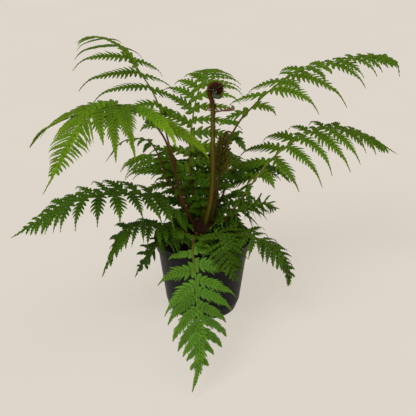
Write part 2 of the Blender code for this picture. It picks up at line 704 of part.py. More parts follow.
def make_crown(collection, finish):
    """A short scaly trunk: a turned body whose surface is raised in overlapping scales."""
    rings = CROWN_RINGS
    profile = [(0.0, CROWN_TOP + 0.002), (CROWN_RADIUS * 0.5, CROWN_TOP)]
    for i in range(rings):
        share = i / (rings - 1)
        height = CROWN_SHOULDER + (CROWN_BOTTOM - CROWN_SHOULDER) * share
        radius = CROWN_RADIUS * (0.90 + 0.10 * math.sin(math.pi * min(1.0, share * 1.4)))
        profile.append((radius, height))
    profile.append((0.0, CROWN_BOTTOM))
    crown = turned("crown", profile, CROWN_SEGMENTS, collection, finish)
    ring_step = (CROWN_SHOULDER - CROWN_BOTTOM) / (rings - 1)
    for vertex in crown.data.vertices:
        turn = math.atan2(vertex.co.y, vertex.co.x)
        radius = math.hypot(vertex.co.x, vertex.co.y)
        if radius > 0.006 and vertex.co.z < CROWN_TOP - 0.0005:
            row = round((CROWN_SHOULDER - vertex.co.z) / ring_step)
            raised = math.cos(CROWN_SCALES * turn + math.pi * (row % 2))
            push = 1.0 + CROWN_ROUGHNESS * raised / radius
            vertex.co.x *= push
            vertex.co.y *= push
    return crown


def rolled_head(neck, ahead, across, radius, core, turns, count):
    """Points of a spiral that leaves the neck along ahead and rolls up towards across."""
    centre = neck + across * radius
    points = []
    for i in range(1, count + 1):
        share = i / count
        turn = 2.0 * math.pi * turns * share
        reach = radius + (core - radius) * share
        points.append(centre + (ahead * math.sin(turn) - across * math.cos(turn)) * reach)
    return points


def taper(first, last, count):
    return [first + (last - first) * i / (count - 1) for i in range(count)]


def make_crozier(stem, collection, finish):
    """The thick scaly stalk with its rolled head, its buds and one bud on a stalk of its own."""
    ahead = Vector((-0.42, 0.0, 0.91)).normalized()
    across = Vector((0.91, 0.0, 0.42)).normalized()
    bend = [stem[-1] + ahead * 0.008 - across * 0.0005, stem[-1] + ahead * 0.016]
    head = rolled_head(bend[-1], ahead, across, ROLL_RADIUS, ROLL_CORE_RADIUS, ROLL_TURNS, ROLL_POINTS)
    radii = taper(CROZIER_RADIUS, CROZIER_NECK_RADIUS, len(stem))
    radii += taper(ROLL_TUBE_RADIUS, ROLL_TIP_RADIUS, len(bend) + len(head))
    crozier = tube("crozier", stem + bend + head, radii, collection, finish)
    buds = new_collection("crozier_buds")
    middle = bend[-1] + across * ROLL_RADIUS
    for i in range(BUD_COUNT):
        place = head[1 + 2 * i]
        inward = (middle - place).normalized()
        for side in (-1, 1):
            out = Vector((0.0, side, 0.0))
            tip = place + out * BUD_LENGTH * 0.75 + inward * BUD_LENGTH * 0.55
            mid = place + out * BUD_LENGTH * 0.55 + inward * BUD_LENGTH * 0.10
            tube("bud", [place, mid, tip], [BUD_RADIUS * 0.7, BUD_RADIUS, BUD_RADIUS * 0.35], buds,
                 resolution=0)
    side_line = smooth_line(SIDE_BUD_ROUTE, 40)
    tube("side_bud", evenly(side_line, len(SIDE_BUD_RADII)), SIDE_BUD_RADII, buds)
    return fuse(crozier, buds)


def make_young_frond(stem, collection, finish):
    """The second unrolling frond: a slim stalk, a small rolled tip and folded side leaves."""
    ahead = Vector((0.10, 0.0, 1.0)).normalized()
    across = Vector((1.0, 0.0, -0.10)).normalized()
    head = rolled_head(stem[-1], ahead, across, YOUNG_ROLL_RADIUS, YOUNG_CORE_RADIUS, YOUNG_TURNS,
                       YOUNG_POINTS)
    radii = taper(YOUNG_RADIUS, YOUNG_NECK_RADIUS, len(stem))
    radii += taper(YOUNG_NECK_RADIUS, YOUNG_TIP_RADIUS, len(head))
    young = tube("young_frond", stem + head, radii, collection, finish)
    folded = new_collection("young_frond_leaves")
    for i in range(FOLDED_PAIRS):
        place = stem[-1].lerp(stem[-3], 1.0 - i / FOLDED_PAIRS)
        heading = (stem[-1] - stem[-2]).normalized()
        length = FOLDED_LENGTH * (1.0 - 0.45 * i / (FOLDED_PAIRS - 1))
        for side in (-1, 1):
            out = Vector((0.55 * side + 0.25, -0.35, 0.0)).normalized()
            first = place + (out * 0.55 + heading * 0.55) * length * 0.6
            second = place + (out * 0.45 + heading * 0.95) * length
            tube("folded", [place, first, second], [0.0012, FOLDED_RADIUS, 0.0010], folded,
                 resolution=0)
    return fuse(young, folded)


def shade(item, angle=40.0):
    item.data.shade_smooth()
    item.data.set_sharp_from_angle(angle=math.radians(angle))


def main():
    clear_scene()
    parts = new_collection("potted_tree_fern")
    cutters = new_collection("cutters")
    leaf = material("leaf_green", LEAF_GREEN)
    unrolling = material("unrolling_brown", UNROLLING_BROWN)
    lines = {name: midrib(plan) for name, plan in FRONDS.items()}
    stalks = {name: evenly(line, stalk_count(line), STALK_END) for name, line in lines.items()}
    crozier_stem = evenly(smooth_line(CROZIER_ROUTE), STEM_CENTRES)
    young_stem = evenly(smooth_line(YOUNG_ROUTE), STEM_CENTRES)

    pot = make_pot(parts, cutters, material("black_plastic", BLACK_PLASTIC))
    soil = make_soil(parts, material("potting_mix", POTTING_MIX))
    crown = make_crown(parts, material("scaly_brown", SCALY_BROWN))
    crozier = make_crozier(crozier_stem, parts, unrolling)
    young = make_young_frond(young_stem, parts, unrolling)

    sockets = bpy.data.collections.new("sockets")
    cutters.children.link(sockets)
    for name, centres in stalks.items():
        socket_cutter(name + "_socket", centres, stalk_radii(centres), sockets, 0)
    socket_cutter("crozier_socket", crozier_stem,
                  taper(CROZIER_RADIUS, CROZIER_NECK_RADIUS, STEM_CENTRES), sockets, 1)
    socket_cutter("young_frond_socket", young_stem,
                  taper(YOUNG_RADIUS, YOUNG_NECK_RADIUS, STEM_CENTRES), sockets, 1)
    boolean(crown, "DIFFERENCE", sockets, "MANIFOLD")
    apply_modifiers(crown)

    obstacles = [(item.name, obstacle(item)) for item in (pot, soil, crown, crozier, young)]
    for name, centres in stalks.items():
        guide = frond_stalk(name + "_guide", centres, parts)
        obstacles.append((name, obstacle(guide)))
        bpy.data.objects.remove(guide)
    for name, plan in FRONDS.items():
        grown = frond(name, plan, lines[name], stalks[name], obstacles, parts, leaf)
        obstacles += grown
    for item in parts.objects:
        shade(item)


main()
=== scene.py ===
"""Looks of the potted tree fern: cut fronds, scaly stalks, unrolling heads, potting mix and plastic pot."""
import math

import bpy
import numpy as np
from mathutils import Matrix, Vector, noise
from mathutils.kdtree import KDTree


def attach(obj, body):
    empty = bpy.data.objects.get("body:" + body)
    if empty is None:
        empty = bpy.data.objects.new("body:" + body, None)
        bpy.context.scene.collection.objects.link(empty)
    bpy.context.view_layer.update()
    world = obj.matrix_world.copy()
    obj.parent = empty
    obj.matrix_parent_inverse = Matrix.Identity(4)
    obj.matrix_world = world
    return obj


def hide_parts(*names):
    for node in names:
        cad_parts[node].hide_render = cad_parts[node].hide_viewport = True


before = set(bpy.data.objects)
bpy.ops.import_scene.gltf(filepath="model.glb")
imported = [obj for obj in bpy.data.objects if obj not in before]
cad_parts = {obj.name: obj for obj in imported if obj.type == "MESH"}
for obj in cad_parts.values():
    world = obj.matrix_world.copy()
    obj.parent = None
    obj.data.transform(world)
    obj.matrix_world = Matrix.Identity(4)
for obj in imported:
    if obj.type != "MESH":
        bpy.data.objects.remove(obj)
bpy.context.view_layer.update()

SEED = 11
draws = np.random.default_rng(SEED)
MILLIMETRE = 0.001
FULL_TURN = 2.0 * math.pi
UP = np.array([0.0, 0.0, 1.0])
# Where the side leaves turn their upper faces, towards the light, and how strongly
FACING = np.array([-0.10, -0.45, 0.89])
FACING_SHARE = 0.6

# Camera: where it stands, how far it looks down, its lens, and the width of its sensor in mm
CAMERA_PLACE = (0.010, -1.788, 0.970)
CAMERA_PITCH = 23.1
CAMERA_LENS = 87.75
SENSOR_WIDTH = 36.0

# Floor, world and lights: place, spread, power and tint
FLOOR_PALE = (0.202, 0.186, 0.165)
FLOOR_DARK = (0.199, 0.183, 0.162)
FLOOR_GLOW = 2.84
FLOOR_HALF = 30.0
WORLD_COLOUR = (0.760, 0.700, 0.625)
WORLD_STRENGTH = 0.25
LIGHTS = {"key": ((-1.6, -2.0, 2.6), 35.0, 1.8, (0.96, 0.98, 1.0)),
          "top": ((0.8, -0.3, 3.0), 70.0, 0.75, (1.0, 0.99, 0.96))}

# The plant's measures, as in the solids: lengths in metres, angles in degrees, and the rest
# shares, powers and counts. SAME_POINT is how near a tip has to be to a corner of a solid.
ROOT_RING = 0.0165
TIER_LOW = 0.142
TIER_MIDDLE = 0.155
TIER_HIGH = 0.168
CENTRE_STEP = 0.052
LEAST_CENTRES = 8
STALK_END = 0.94
STALK_RADIUS = 0.0031
STALK_TIP_RADIUS = 0.0009
STALK_THINNING = 0.6
TOOTH_PITCH = 0.024
MOST_TEETH = 5
LEAF_NECK = 0.0045
LEFT_OFFSET = 0.28
RIGHT_OFFSET = 0.62
LEAF_CROWDING = 0.92
WIDEST = 0.26
TIP_SHORTENING = 0.90
TIP_POWER = 1.35
SMALL_SWEEPS = (9.6, 33.6)
BLADE_SCALES = (1.0, 0.86, 0.72, 0.58, 0.45)
BLADE_LIFTS = (0, 12, -12, 24, -24, 38, -38)
BLADE_SWEEPS = (0, 10, -10)
SAME_POINT = 0.0001

# The pot, the mix and the crown: their measures, as in the solids, and what their looks need
POT_HEIGHT = 0.150
FOOT_RADIUS = 0.0645
CHAMFER_RADIUS = 0.072
CHAMFER_HEIGHT = 0.020
WALL_TOP_RADIUS = 0.087
BAND_RADIUS = 0.0905
BAND_HEIGHT = 0.022
RIM_RADIUS = 0.095
LIP_HEIGHT = 0.004
LIP_WIDTH = 0.0045
LIP_STEP = 0.0012
POT_WALL = 0.0018
CORNER = 0.0006
CORNER_ROUNDING = 0.0012
POT_SEGMENTS = 144
DRAIN_RADIUS = 0.0065
DRAIN_RING = 0.045
DRAIN_COUNT = 6
DRAIN_SEGMENTS = 32
SOIL_TOP = 0.134
SOIL_DOME = 0.004
SOIL_BORE = 0.0290
SOIL_WALL = 0.0842
SOIL_SEGMENTS = 128
SOIL_RINGS = 34
# How far the mix stays off the wall's corners, off the band above and off the foot
SOIL_EDGE, SOIL_UNDER_BAND, SOIL_OFF_FOOT = 0.001, 0.003, 0.002
SEAT_GAP = 0.0004
CROWN_RADIUS = 0.027
CROWN_BOTTOM = 0.108
CROWN_SHOULDER = 0.166
CROWN_TOP = 0.180
# Bumps of the mix and the crown: their height, the crown's as a share of its radius, and how
# many there are to a metre
SOIL_BUMPS = ((0.0022, 70.0), (0.0014, 210.0))
CROWN_BUMPS = (0.035, 160.0)
CROWN_SEGMENTS = 64
CROWN_RINGS = 30
# The crown's top, as shares of its radius and heights above or below CROWN_TOP, then the height
# of its edge above the shoulder, its waist and how far it swells below that
CROWN_DOME = ((0.0, 0.001), (0.3, 0.0005), (0.6, -0.003))
CROWN_EDGE = 0.003
CROWN_WAIST, CROWN_SWELLING = 0.88, 0.11
CROWN_BULGE_GAIN, CROWN_BULGE_START = 1.4, 0.1
# Chips and grains on the mix: their number and range of sizes
CHIPS = (520, (0.003, 0.011))
GRAINS = (60, (0.0015, 0.003))
# Their breadths and heights as shares of their length, how uneven their corners and tones are,
# how they tilt, and how far they stay off the crown's hole and the wall and lie above the mix
CHIP_BREADTHS, CHIP_HEIGHTS = (0.35, 0.8), (0.2, 0.45)
CHIP_CORNERS, CHIP_TONES = (0.7, 1.2), (0.7, 1.3)
CHIP_TILT = 0.3
CHIP_INSIDE, CHIP_OUTSIDE, CHIP_LIFT = 0.004, 0.005, 0.0006

# The crozier and the young frond: routes in millimetres, other lengths in metres
CROZIER_ROUTE = ((3, -3, 158), (8, -9, 190), (15, -13, 223), (19, -15, 281), (19, -15, 339),
                 (19, -15, 426))
CROZIER_SIDES = 16
CROZIER_RADIUS = 0.0056
CROZIER_NECK_RADIUS = 0.0036
ROLL_RADIUS = 0.014
ROLL_CORE_RADIUS = 0.0042
ROLL_TURNS = 1.7
ROLL_TUBE_RADIUS = 0.0031
ROLL_TIP_RADIUS = 0.0017
LEAFLET_ROLLS = 16
SIDE_BUD_ROUTE = ((20, -15, 404), (32, -17, 407), (48, -20, 410), (56, -22, 414), (53, -22, 419))
SIDE_BUD_RADII = (0.0014, 0.0013, 0.0013, 0.0022, 0.0034, 0.0016)
YOUNG_ROUTE = ((15.5, 6, 169), (20, 10, 192), (25, 13, 220), (31, 14, 271), (36, 15, 320),
               (40, 15, 350))
YOUNG_SIDES = 12
YOUNG_RADIUS = 0.0034
YOUNG_NECK_RADIUS = 0.0022
YOUNG_TIP_RADIUS = 0.0013
YOUNG_ROLL_RADIUS = 0.0085
YOUNG_CORE_RADIUS = 0.0032
YOUNG_TURNS = 1.25
FOLDED_PAIRS = 4
FOLDED_LENGTH = 0.034

# The heads' smaller parts: the bulge under the rolled head, by its places from the head's middle
# and its radii, the small curled bud, and the folded side leaves
LUMP_MIDDLE = np.array([0.001, -0.0085, -0.0108])
LUMP_PLACES = ((-0.0085, 0.003, 0.0026), (0.0, 0.0, 0.0), (0.0068, 0.0, 0.0008), (0.0092, 0.0, 0.0034))
LUMP_RADII = ((0.0, 0.25, 0.75, 1.0), (0.0020, 0.0040, 0.0036, 0.0012))
CURLED_BUD_PLACE = np.array([0.0125, -0.0195, 0.4105])
KNOBS = 4
# Small rolls: radius, radius of their tube, and turns
MIDDLE_ROLL = (0.0065, 0.0030, 1.3)
CURLED_BUD_ROLL = (0.0040, 0.0014, 1.3)
KNOB_ROLL = (0.0022, 0.0009, 1.1)
FOLDED_ROLL = (0.0024, 0.0010, 1.2)
KNOB_POINTS = 14
# How much a roll tightens, thins and darkens towards its middle, and its tone where it starts
ROLL_TIGHTENING = 0.80
ROLL_THINNING = 0.55
ROLL_TONE, ROLL_DARKENING = 1.12, 0.35
ROLL_SIDES = 7
ROLL_POINTS = 26
# The point of the head with its first leaflet
FIRST_HEAD_ROLL = 4
# The leaflets of the rolled head: their size and how much smaller the last ones are, how far out
# and inwards they sit, as a length and a share of their size, their tube, turns, and tones
HEAD_ROLL_RADIUS, HEAD_ROLL_SHRINKING = 0.0046, 0.0018
HEAD_ROLL_SIZES = (0.7, 1.1)
HEAD_ROLL_LEAN = 0.5
HEAD_ROLL_OUT, HEAD_ROLL_OUT_SHARE = 0.0030, 0.45
HEAD_ROLL_IN, HEAD_ROLL_IN_SHARE = 0.0014, 0.60
HEAD_ROLL_TUBE, HEAD_ROLL_TURNS = 0.36, 1.35
HEAD_ROLL_TONES = (0.35, 1.15)
MAROON_SHARE = 0.40
# The brown edges of an unrolling stalk: how far they are shifted to one side, where their colour
# starts, and how soft it is
EDGE_SHIFT = 0.12
EDGE_RAMP = (0.36, 0.25)
# The crozier's head: how it leans, how far the stalk bends into it and aside, the share of the
# whole in which the neck changes, and points of the head and of the whole
HEAD_AHEAD, HEAD_ACROSS = (-0.42, 0.0, 0.91), (0.91, 0.0, 0.42)
BEND_REACH, BEND_STEP = 0.008, 0.0005
NECK_TURN = 0.05
HEAD_POINTS, CROZIER_POINTS = 90, 170
# How many points before the neck its hairs and the head's start, and before the end these stop
NECK_HAIRY, HEAD_HAIRY, HEAD_BALD = 30, 8, 24
LUMP_POINTS, LUMP_SIDES, LUMP_HAIR_RADIUS = 25, 12, 0.0034
SIDE_BUD_POINTS, SIDE_BUD_SIDES, SIDE_BUD_HAIRY = 60, 10, 50
KNOB_START, KNOB_STEP, KNOB_LIFT = 8, 10, 0.0016
# The young frond's head and the share of its stalk that has folded leaves
YOUNG_AHEAD, YOUNG_ACROSS = (0.10, 0.0, 1.0), (1.0, 0.0, -0.10)
YOUNG_HEAD_POINTS, YOUNG_POINTS = 60, 130
YOUNG_NECK = 0.70
FOLDED_SHARE, FOLDED_SHRINKING = 0.4, 0.45
FOLDED_POINTS, FOLDED_SIDES = 24, 8
FOLDED_TONES = (0.7, 1.2)
FOLDED_ROLL_TONES = (0.6, 1.25)
# How far a folded leaf leans to its own side, to the right and to the front, and how far out and on
# its middle and its tip reach, as shares of its length
FOLDED_SIDE, FOLDED_RIGHT, FOLDED_FRONT = 0.55, 0.25, -0.35
FOLDED_MIDDLE, FOLDED_HALFWAY = (0.55, 0.55), 0.6
FOLDED_END = (0.45, 0.95)
# How far a folded leaf's halves and rolls stand off its rib
FOLDED_GAP = 0.0012
FOLDED_ROLL_GAP = 0.0026
FOLDED_RADII = ((0.0, 0.45, 1.0), (0.0011, 0.0020, 0.0009))
FOLDED_HALF = 0.0105
FOLDED_CUT = (0.0038, 0.30, 0.0)
FOLDED_ROLLS = 6

# Leaf greens: the blade, and what its drawn-out tips turn to. The darker ones go to the lower,
# inner and rim fronds: deep and olive are partly the fronds' own darker green, partly painted
# shade; shade and dark are darker still, as painted shade.
GREENS = {
    "fresh": ((0.078, 0.190, 0.015), (0.100, 0.225, 0.011)),
    "bright": ((0.098, 0.196, 0.004), (0.215, 0.350, 0.005)),
    "middle": ((0.072, 0.146, 0.003), (0.120, 0.224, 0.004)),
    "deep": ((0.041, 0.104, 0.003), (0.078, 0.166, 0.003)),
    "olive": ((0.034, 0.080, 0.002), (0.060, 0.124, 0.003)),
    "shade": ((0.045, 0.115, 0.002), (0.078, 0.172, 0.003)),
    "dark": ((0.013, 0.038, 0.002), (0.026, 0.066, 0.002)),
}
# The small leaves low on the stalks take the shade green: painted shade of the plant's middle
LOW_PAINTED_SHADE_GREEN = "shade"
RIB_PALE = np.array([0.018, 0.022, 0.004])
# Painted shade in the notches between the lobes, and the two kinds of veins
NOTCH_SHADE_GREEN = (0.018, 0.050, 0.003)
SIDE_VEIN_GREEN = (0.140, 0.260, 0.012)
VEIN_GREEN = (0.170, 0.290, 0.024)
# Stalks from the crown outwards, and their scales
STIPE_MAROON = (0.088, 0.026, 0.006)
STIPE_BROWN = (0.125, 0.058, 0.010)
STIPE_GREEN = (0.130, 0.220, 0.020)
STIPE_TAN = (0.300, 0.210, 0.095)
SCALE_BROWN = (0.062, 0.020, 0.008)
HAIR_BROWN = (0.160, 0.060, 0.020)
HAIR_TAN = (0.190, 0.095, 0.036)
HAIR_MAROON = (0.075, 0.018, 0.006)
STALK_PALE = np.array([0.022, 0.012, 0.002])
STALK_BRIGHTER = 1.05
# Along a stalk: the least share in which maroon turns to brown, where green starts, as a share
# of the bare part, and how long it takes
LEAST_BROWN = 0.2
GREEN_START = 0.8
GREEN_RAMP = 0.30
# The crozier and the young frond
CROZIER_GREENS = ((0.115, 0.135, 0.006), (0.118, 0.180, 0.008))
CROZIER_EDGE = (0.118, 0.038, 0.004)
ROLLED_BROWN = np.array([0.125, 0.036, 0.010])
ROLLED_GREEN = (0.060, 0.085, 0.034)
ROLLED_MAROON = (0.034, 0.009, 0.004)
SIDE_STALK_HUES = ((0.150, 0.062, 0.028), (0.150, 0.160, 0.065))
KNOB_BROWN = (0.190, 0.085, 0.040)
BUD_BROWN = (0.200, 0.090, 0.040)
YOUNG_HUES = ((0.100, 0.105, 0.032), (0.130, 0.085, 0.035))
YOUNG_EDGE = (0.110, 0.042, 0.022)
FOLDED_OLIVE = (0.110, 0.108, 0.010)
FOLDED_BROWN = (0.105, 0.040, 0.006)
FOLDED_RIB = (0.090, 0.080, 0.010)
# Crown, potting mix and pot
CROWN_BROWN = (0.034, 0.013, 0.008)
STUB_HUES = ((0.080, 0.032, 0.018), (0.120, 0.070, 0.040))
SOIL_BROWN = (0.040, 0.026, 0.016)
CHIP_HUES = ((0.060, 0.036, 0.020), (0.090, 0.055, 0.030), (0.035, 0.022, 0.014), (0.140, 0.090, 0.050))
GRAIN_HUES = ((0.55, 0.52, 0.46),)
POT_BLACK = (0.0070, 0.0064, 0.0096)
POT_WORN = (0.017, 0.014, 0.013)
POT_DUST = (0.045, 0.038, 0.034)

# Cut of the side leaves
LEAST_LOBES = 5
NARROWEST_HALF = 0.0028
OVERLAP = 0.72
UNEVEN = 3.5
SHORT_LEAF = 0.066
SHORT_GAIN = 2.2
# The half width that a leaf's length allows, as a share of it and more, cut and whole
CUT_SLIM, CUT_LEAST = 0.26, 0.002
SHORT_SLIM, SHORT_LEAST = 0.15, 0.0012
# How much finer than a cut leaf's lobes a whole leaf's teeth are
WHOLE_FINER = 0.35
FINGER_UNCUT = 0.72
END_START = 0.90
END_HALF = 0.0085
LOBE_SWEEP = 24.0
LOBE_SWEEP_GAIN = 26.0
LOBE_CURVE = 0.50
LOBE_GROWTH = (0.76, 1.12)
LOBE_SAG = 0.16
LOBE_RISE = 0.06
LOBE_SHORTENING = 1.15
LAST_LOBE_END = 0.985
TIP_UNCUT = 0.80
TIP_NARROWING = 0.7
# Where ramps start along a side leaf, and how long they are
UNCUT_RAMP = (0.50, 0.40)
FOOT_RAMP = (0.0, 0.15)
NARROWING_RAMP = (0.6, 0.35)
# How the uncut share grows towards the tip, and what part of it a leaf's foot has
JOIN_POWER = 1.3
FOOT_JOIN = 0.75
# The share of a leaf over which its lobes' sweep rises in full, and how far the first lean back
SWEEP_RISE = 0.14
SWEEP_BACK = 0.3
# How soon a lobe is vaulted and thick beyond its midrib
VAULT_GAIN = 5.0
THICK_GAIN = 6.0
# The tips' green: how fast it comes along a leaf, how late, and how suddenly
TIP_GREEN = (1.1, 0.15, 1.5)
# How much of the first lobe lies over the stalk
FOOT_OVERLAP = 0.30
LEAF_TONES = (0.80, 1.20)
LEAF_WARMTHS = (0.94, 1.08)
LEAF_LENGTHS = (0.95, 1.04)
LEAF_WIDTHS = (0.92, 1.08)
FINGER_WIDTHS = (0.85, 1.15)
LOOSE_SWEEP = 0.6
BOW = 0.030
LEAN = 10.0
TWIST = 26.0
VAULT = 0.14
BLADE_HALF_THICKNESS = 0.00016
SPINE_STEPS = 40
TIP_HOOK = 0.9
HOOK_START = 0.7
# Rows of a lobe beyond its notch: share of the way to its tip, and share of its width there
LOBE_ROWS = ((0.14, 0.80), (0.34, 0.70), (0.52, 0.58), (0.70, 0.43), (0.87, 0.23))
# Half widths along a side leaf. A cut one is fuller in its inner half, then a long drawn-out
# tip, and a whole one is broadest at its foot and evenly pointed.
CUT_OUTLINE = ((0.0, 0.06, 0.22, 0.38, 0.54, 0.67, 0.80, 1.0),
               (0.88, 1.0, 1.0, 0.82, 0.54, 0.27, 0.11, 0.02))
WHOLE_OUTLINE = ((0.0, 0.25, 0.50, 0.75, 0.90, 1.0), (1.0, 0.93, 0.72, 0.40, 0.16, 0.01))
RIB_STATIONS = 14
RIB_SIDES = 5
# The share of a stalk over which it closes beyond STALK_END
STALK_CLOSING = 0.055
STALK_STATIONS = 90
STALK_SIDES = 9
END_STATIONS = 41
RIB_RADII = ((0.0, 0.3, 1.0), (0.00075, 0.00052, 0.00016))
# Ribs are slimmer on short leaves, and brighter than the blade
RIB_LEAST = 0.55
RIB_GAIN = 5.0
RIB_BRIGHTER = 1.25
# The end blade: its greatest half width as a share of its length, and how far it is whole
END_SLIM = 0.30
END_WHOLE = 0.5
# Small leaves low on a stalk: how far down they go, and ranges of their sizes, lifts and sweeps
LOW_REACH = 0.92
LOW_SIZES = (0.7, 1.2)
LOW_LIFTS = (-30.0, 40.0)
LOW_SWEEPS = (-40.0, 40.0)

# Scales: how deep their roots sit, and the ranges of their tones and widths
HAIR_KIND = (0.92, (0.55, 1.6), (0.00030, 0.00065))
STALK_SCALE_KIND = (0.94, (0.6, 1.5), (0.0005, 0.0010))
STALK_SCALE_LENGTHS = (0.0022, 0.0055)
SCALE_SPREAD = 0.35
STALK_SCALES = 170
# Scales beyond the bare stalk: as a share in their number, how far they go, and how sparse
SCALES_BEYOND = 0.35
SCALES_REACH = 0.25
SCALES_THINNING = 1.6
CROWN_SCALES = 1900
CROWN_SCALE_LENGTHS = (0.003, 0.0085)
CROWN_SCALE_WIDTHS = (0.0006, 0.0016)
CROWN_SCALE_TONES = (0.5, 1.7)
CROWN_SCALE_FLARE, CROWN_SCALE_SPREAD = 0.25, 0.30
# The ring they stand on, how much it narrows towards the top and how late, and how far up the
# ones there point
CROWN_SCALE_RING, CROWN_SCALE_NARROWING, CROWN_SCALE_LATE = 0.97, 0.62, 1.5
CROWN_SCALE_RISE = 0.8
# How far below the mix's top the crown's scales start, and how deep they sit
CROWN_SCALES_BELOW, CROWN_SCALE_DEPTH = 0.004, 0.0006
# Stubs of old stalks: their ring, the height of the first and the step from one to the next,
# their lean, half way point and length, radii, sides and points
STUBS = 9
STUB_HEIGHT, STUB_STEP = 0.140, 0.003
STUB_RING = 0.85
STUB_LEAN, STUB_HALFWAY, STUB_LENGTH = 0.9, 0.004, 0.0075
STUB_RADII, STUB_SIDES, STUB_POINTS = (0.0030, 0.0021), 9, 11
# The share of a turn between two stubs
STUB_TURN = 0.382
# Points along the stems of the two heads before they roll up
STEM_POINTS = 70
YOUNG_STEM_POINTS = 50
# Hairs: their number, range of lengths, colour, and how far they stand out
STALK_HAIRS = (3000, (0.0020, 0.0046), HAIR_BROWN, 0.9)
NECK_HAIRS = (1100, (0.0020, 0.0050), HAIR_TAN, 0.8)
HEAD_HAIRS = (2600, (0.0018, 0.0048), HAIR_MAROON, 0.8)
LUMP_HAIRS = (150, (0.0012, 0.0026), HAIR_MAROON, 0.9)
SIDE_BUD_HAIRS = (260, (0.0014, 0.0032), HAIR_BROWN, 0.8)
YOUNG_HAIRS = (1000, (0.0016, 0.0038), HAIR_MAROON, 0.7)
FOLDED_HAIRS = (90, (0.0014, 0.0032), HAIR_BROWN, 0.9)
# Which of a piece's two finishes stalks and hairs have
SECOND_FINISH = 1

# How much the skins shine
SKIN_SHINE = 0.14
# Skins: roughness and its spread, scale and strength of the patches, how long the streaks are
# drawn out, depth of the relief and its scale
SKINS = {
    "fern_stalk": (0.55, 0.08, 160.0, 0.22, 0.25, 0.0004, 900.0),
    "unrolling_skin": (0.62, 0.08, 220.0, 0.25, 0.3, 0.0004, 1100.0),
    "brown_hairs": (0.60, 0.10, 300.0, 0.25, 0.3, 0.0002, 1500.0),
    "scaly_crown": (0.78, 0.10, 180.0, 0.30, 0.4, 0.0006, 700.0),
    "potting_mix_crumb": (0.93, 0.05, 260.0, 0.35, 1.0, 0.0008, 900.0),
}
# Between these a noise's values mostly lie
NOISE_RANGE = (0.3, 0.7)
# The leaf blade: scales of its patches and grain, how strongly they tone it, its roughness and
# shine, how far its notches take the painted shade and its side veins and veins their colours, and its
# relief
LEAF_PATCHES, LEAF_PATCH_TONE = 75.0, 0.20
LEAF_GRAIN, LEAF_GRAIN_TONE = 900.0, 0.10
LEAF_ROUGHNESS = (0.42, 0.56)
LEAF_SHINE = 0.08
NOTCH_SHADE_SHARE, SIDE_VEIN_SHARE, VEIN_SHARE = 0.58, 0.12, 0.32
LEAF_RELIEF = (0.35, 0.00025)
# On a lobe: the soft edge of its vein, where the painted shade of its notches starts and ends, and
# the number, slant and sharpness of its side veins
VEIN_EDGE = (0.04, 0.20)
NOTCH_SHADE_START, NOTCH_SHADE_END = 0.45, 0.55
SIDE_VEINS, SIDE_VEIN_SLANT, SIDE_VEIN_EDGE = 6.0, 1.3, 0.35
SIDE_VEIN_RELIEF = 0.5
# The pot: scales of its clouds, dust, fine grain and rings, its roughness, shine and relief
POT_CLOUDS, POT_DUSTING, POT_FINE, POT_RINGS = 14.0, 120.0, 1400.0, 30.0
POT_RING_STRETCH = (0.2, 0.2, 14.0)
POT_ROUGHNESS = (0.36, 0.52)
POT_SHINE = 0.11
# Between which values of the clouds and the dust the pot turns worn and dusty, and from how far
# to how far, and the range of the wear that makes it rougher
POT_WORN_RANGE = (0.35, 0.75, 0.0, 0.35)
POT_DUST_RANGE = (0.58, 0.80, 0.0, 0.12)
POT_WEAR_RANGE = (0.35, 0.65)
# How much its rings and the fine grain stand out
RINGS_RELIEF, FINE_RELIEF = 0.6, 0.25
POT_RELIEF = (0.25, 0.0004)


def row(lengths, sweeps, lift, droop, **own):
    """The side leaves on one side of a midrib, from the crown outwards: their lengths, given in
    millimetres, forward angles and lifts in degrees, and how far they hang in radians. All but
    the lengths may be one value or a few that the row runs through. A row may have a closer and
    a whole of its own."""
    return dict(lengths=[length * MILLIMETRE for length in lengths], sweeps=sweeps, lift=lift,
                droop=droop, **own)


def tapered(count, offset, reach, first):
    """Lengths that grow up to a quarter of the way out and then shrink towards the tip."""
    lengths = []
    for i in range(count):
        out = (i + offset) / count
        rise = min(1.0, first + (1.0 - first) * out / WIDEST)
        fall = 1.0 - TIP_SHORTENING * max(0.0, (out - WIDEST) / (1.0 - WIDEST)) ** TIP_POWER
        lengths.append(reach * rise * fall)
    return lengths


def small_rows(count, reach, first, droop, loose=24, more=1):
    """The two rows of a small frond, with looser leaves between theirs all the way."""
    left, right = (row(tapered(count, offset, reach, first), SMALL_SWEEPS, 0, droop)
                   for offset in (LEFT_OFFSET, RIGHT_OFFSET))
    return dict(left=left, right=right, closer=0.0, loose=loose, more=more)
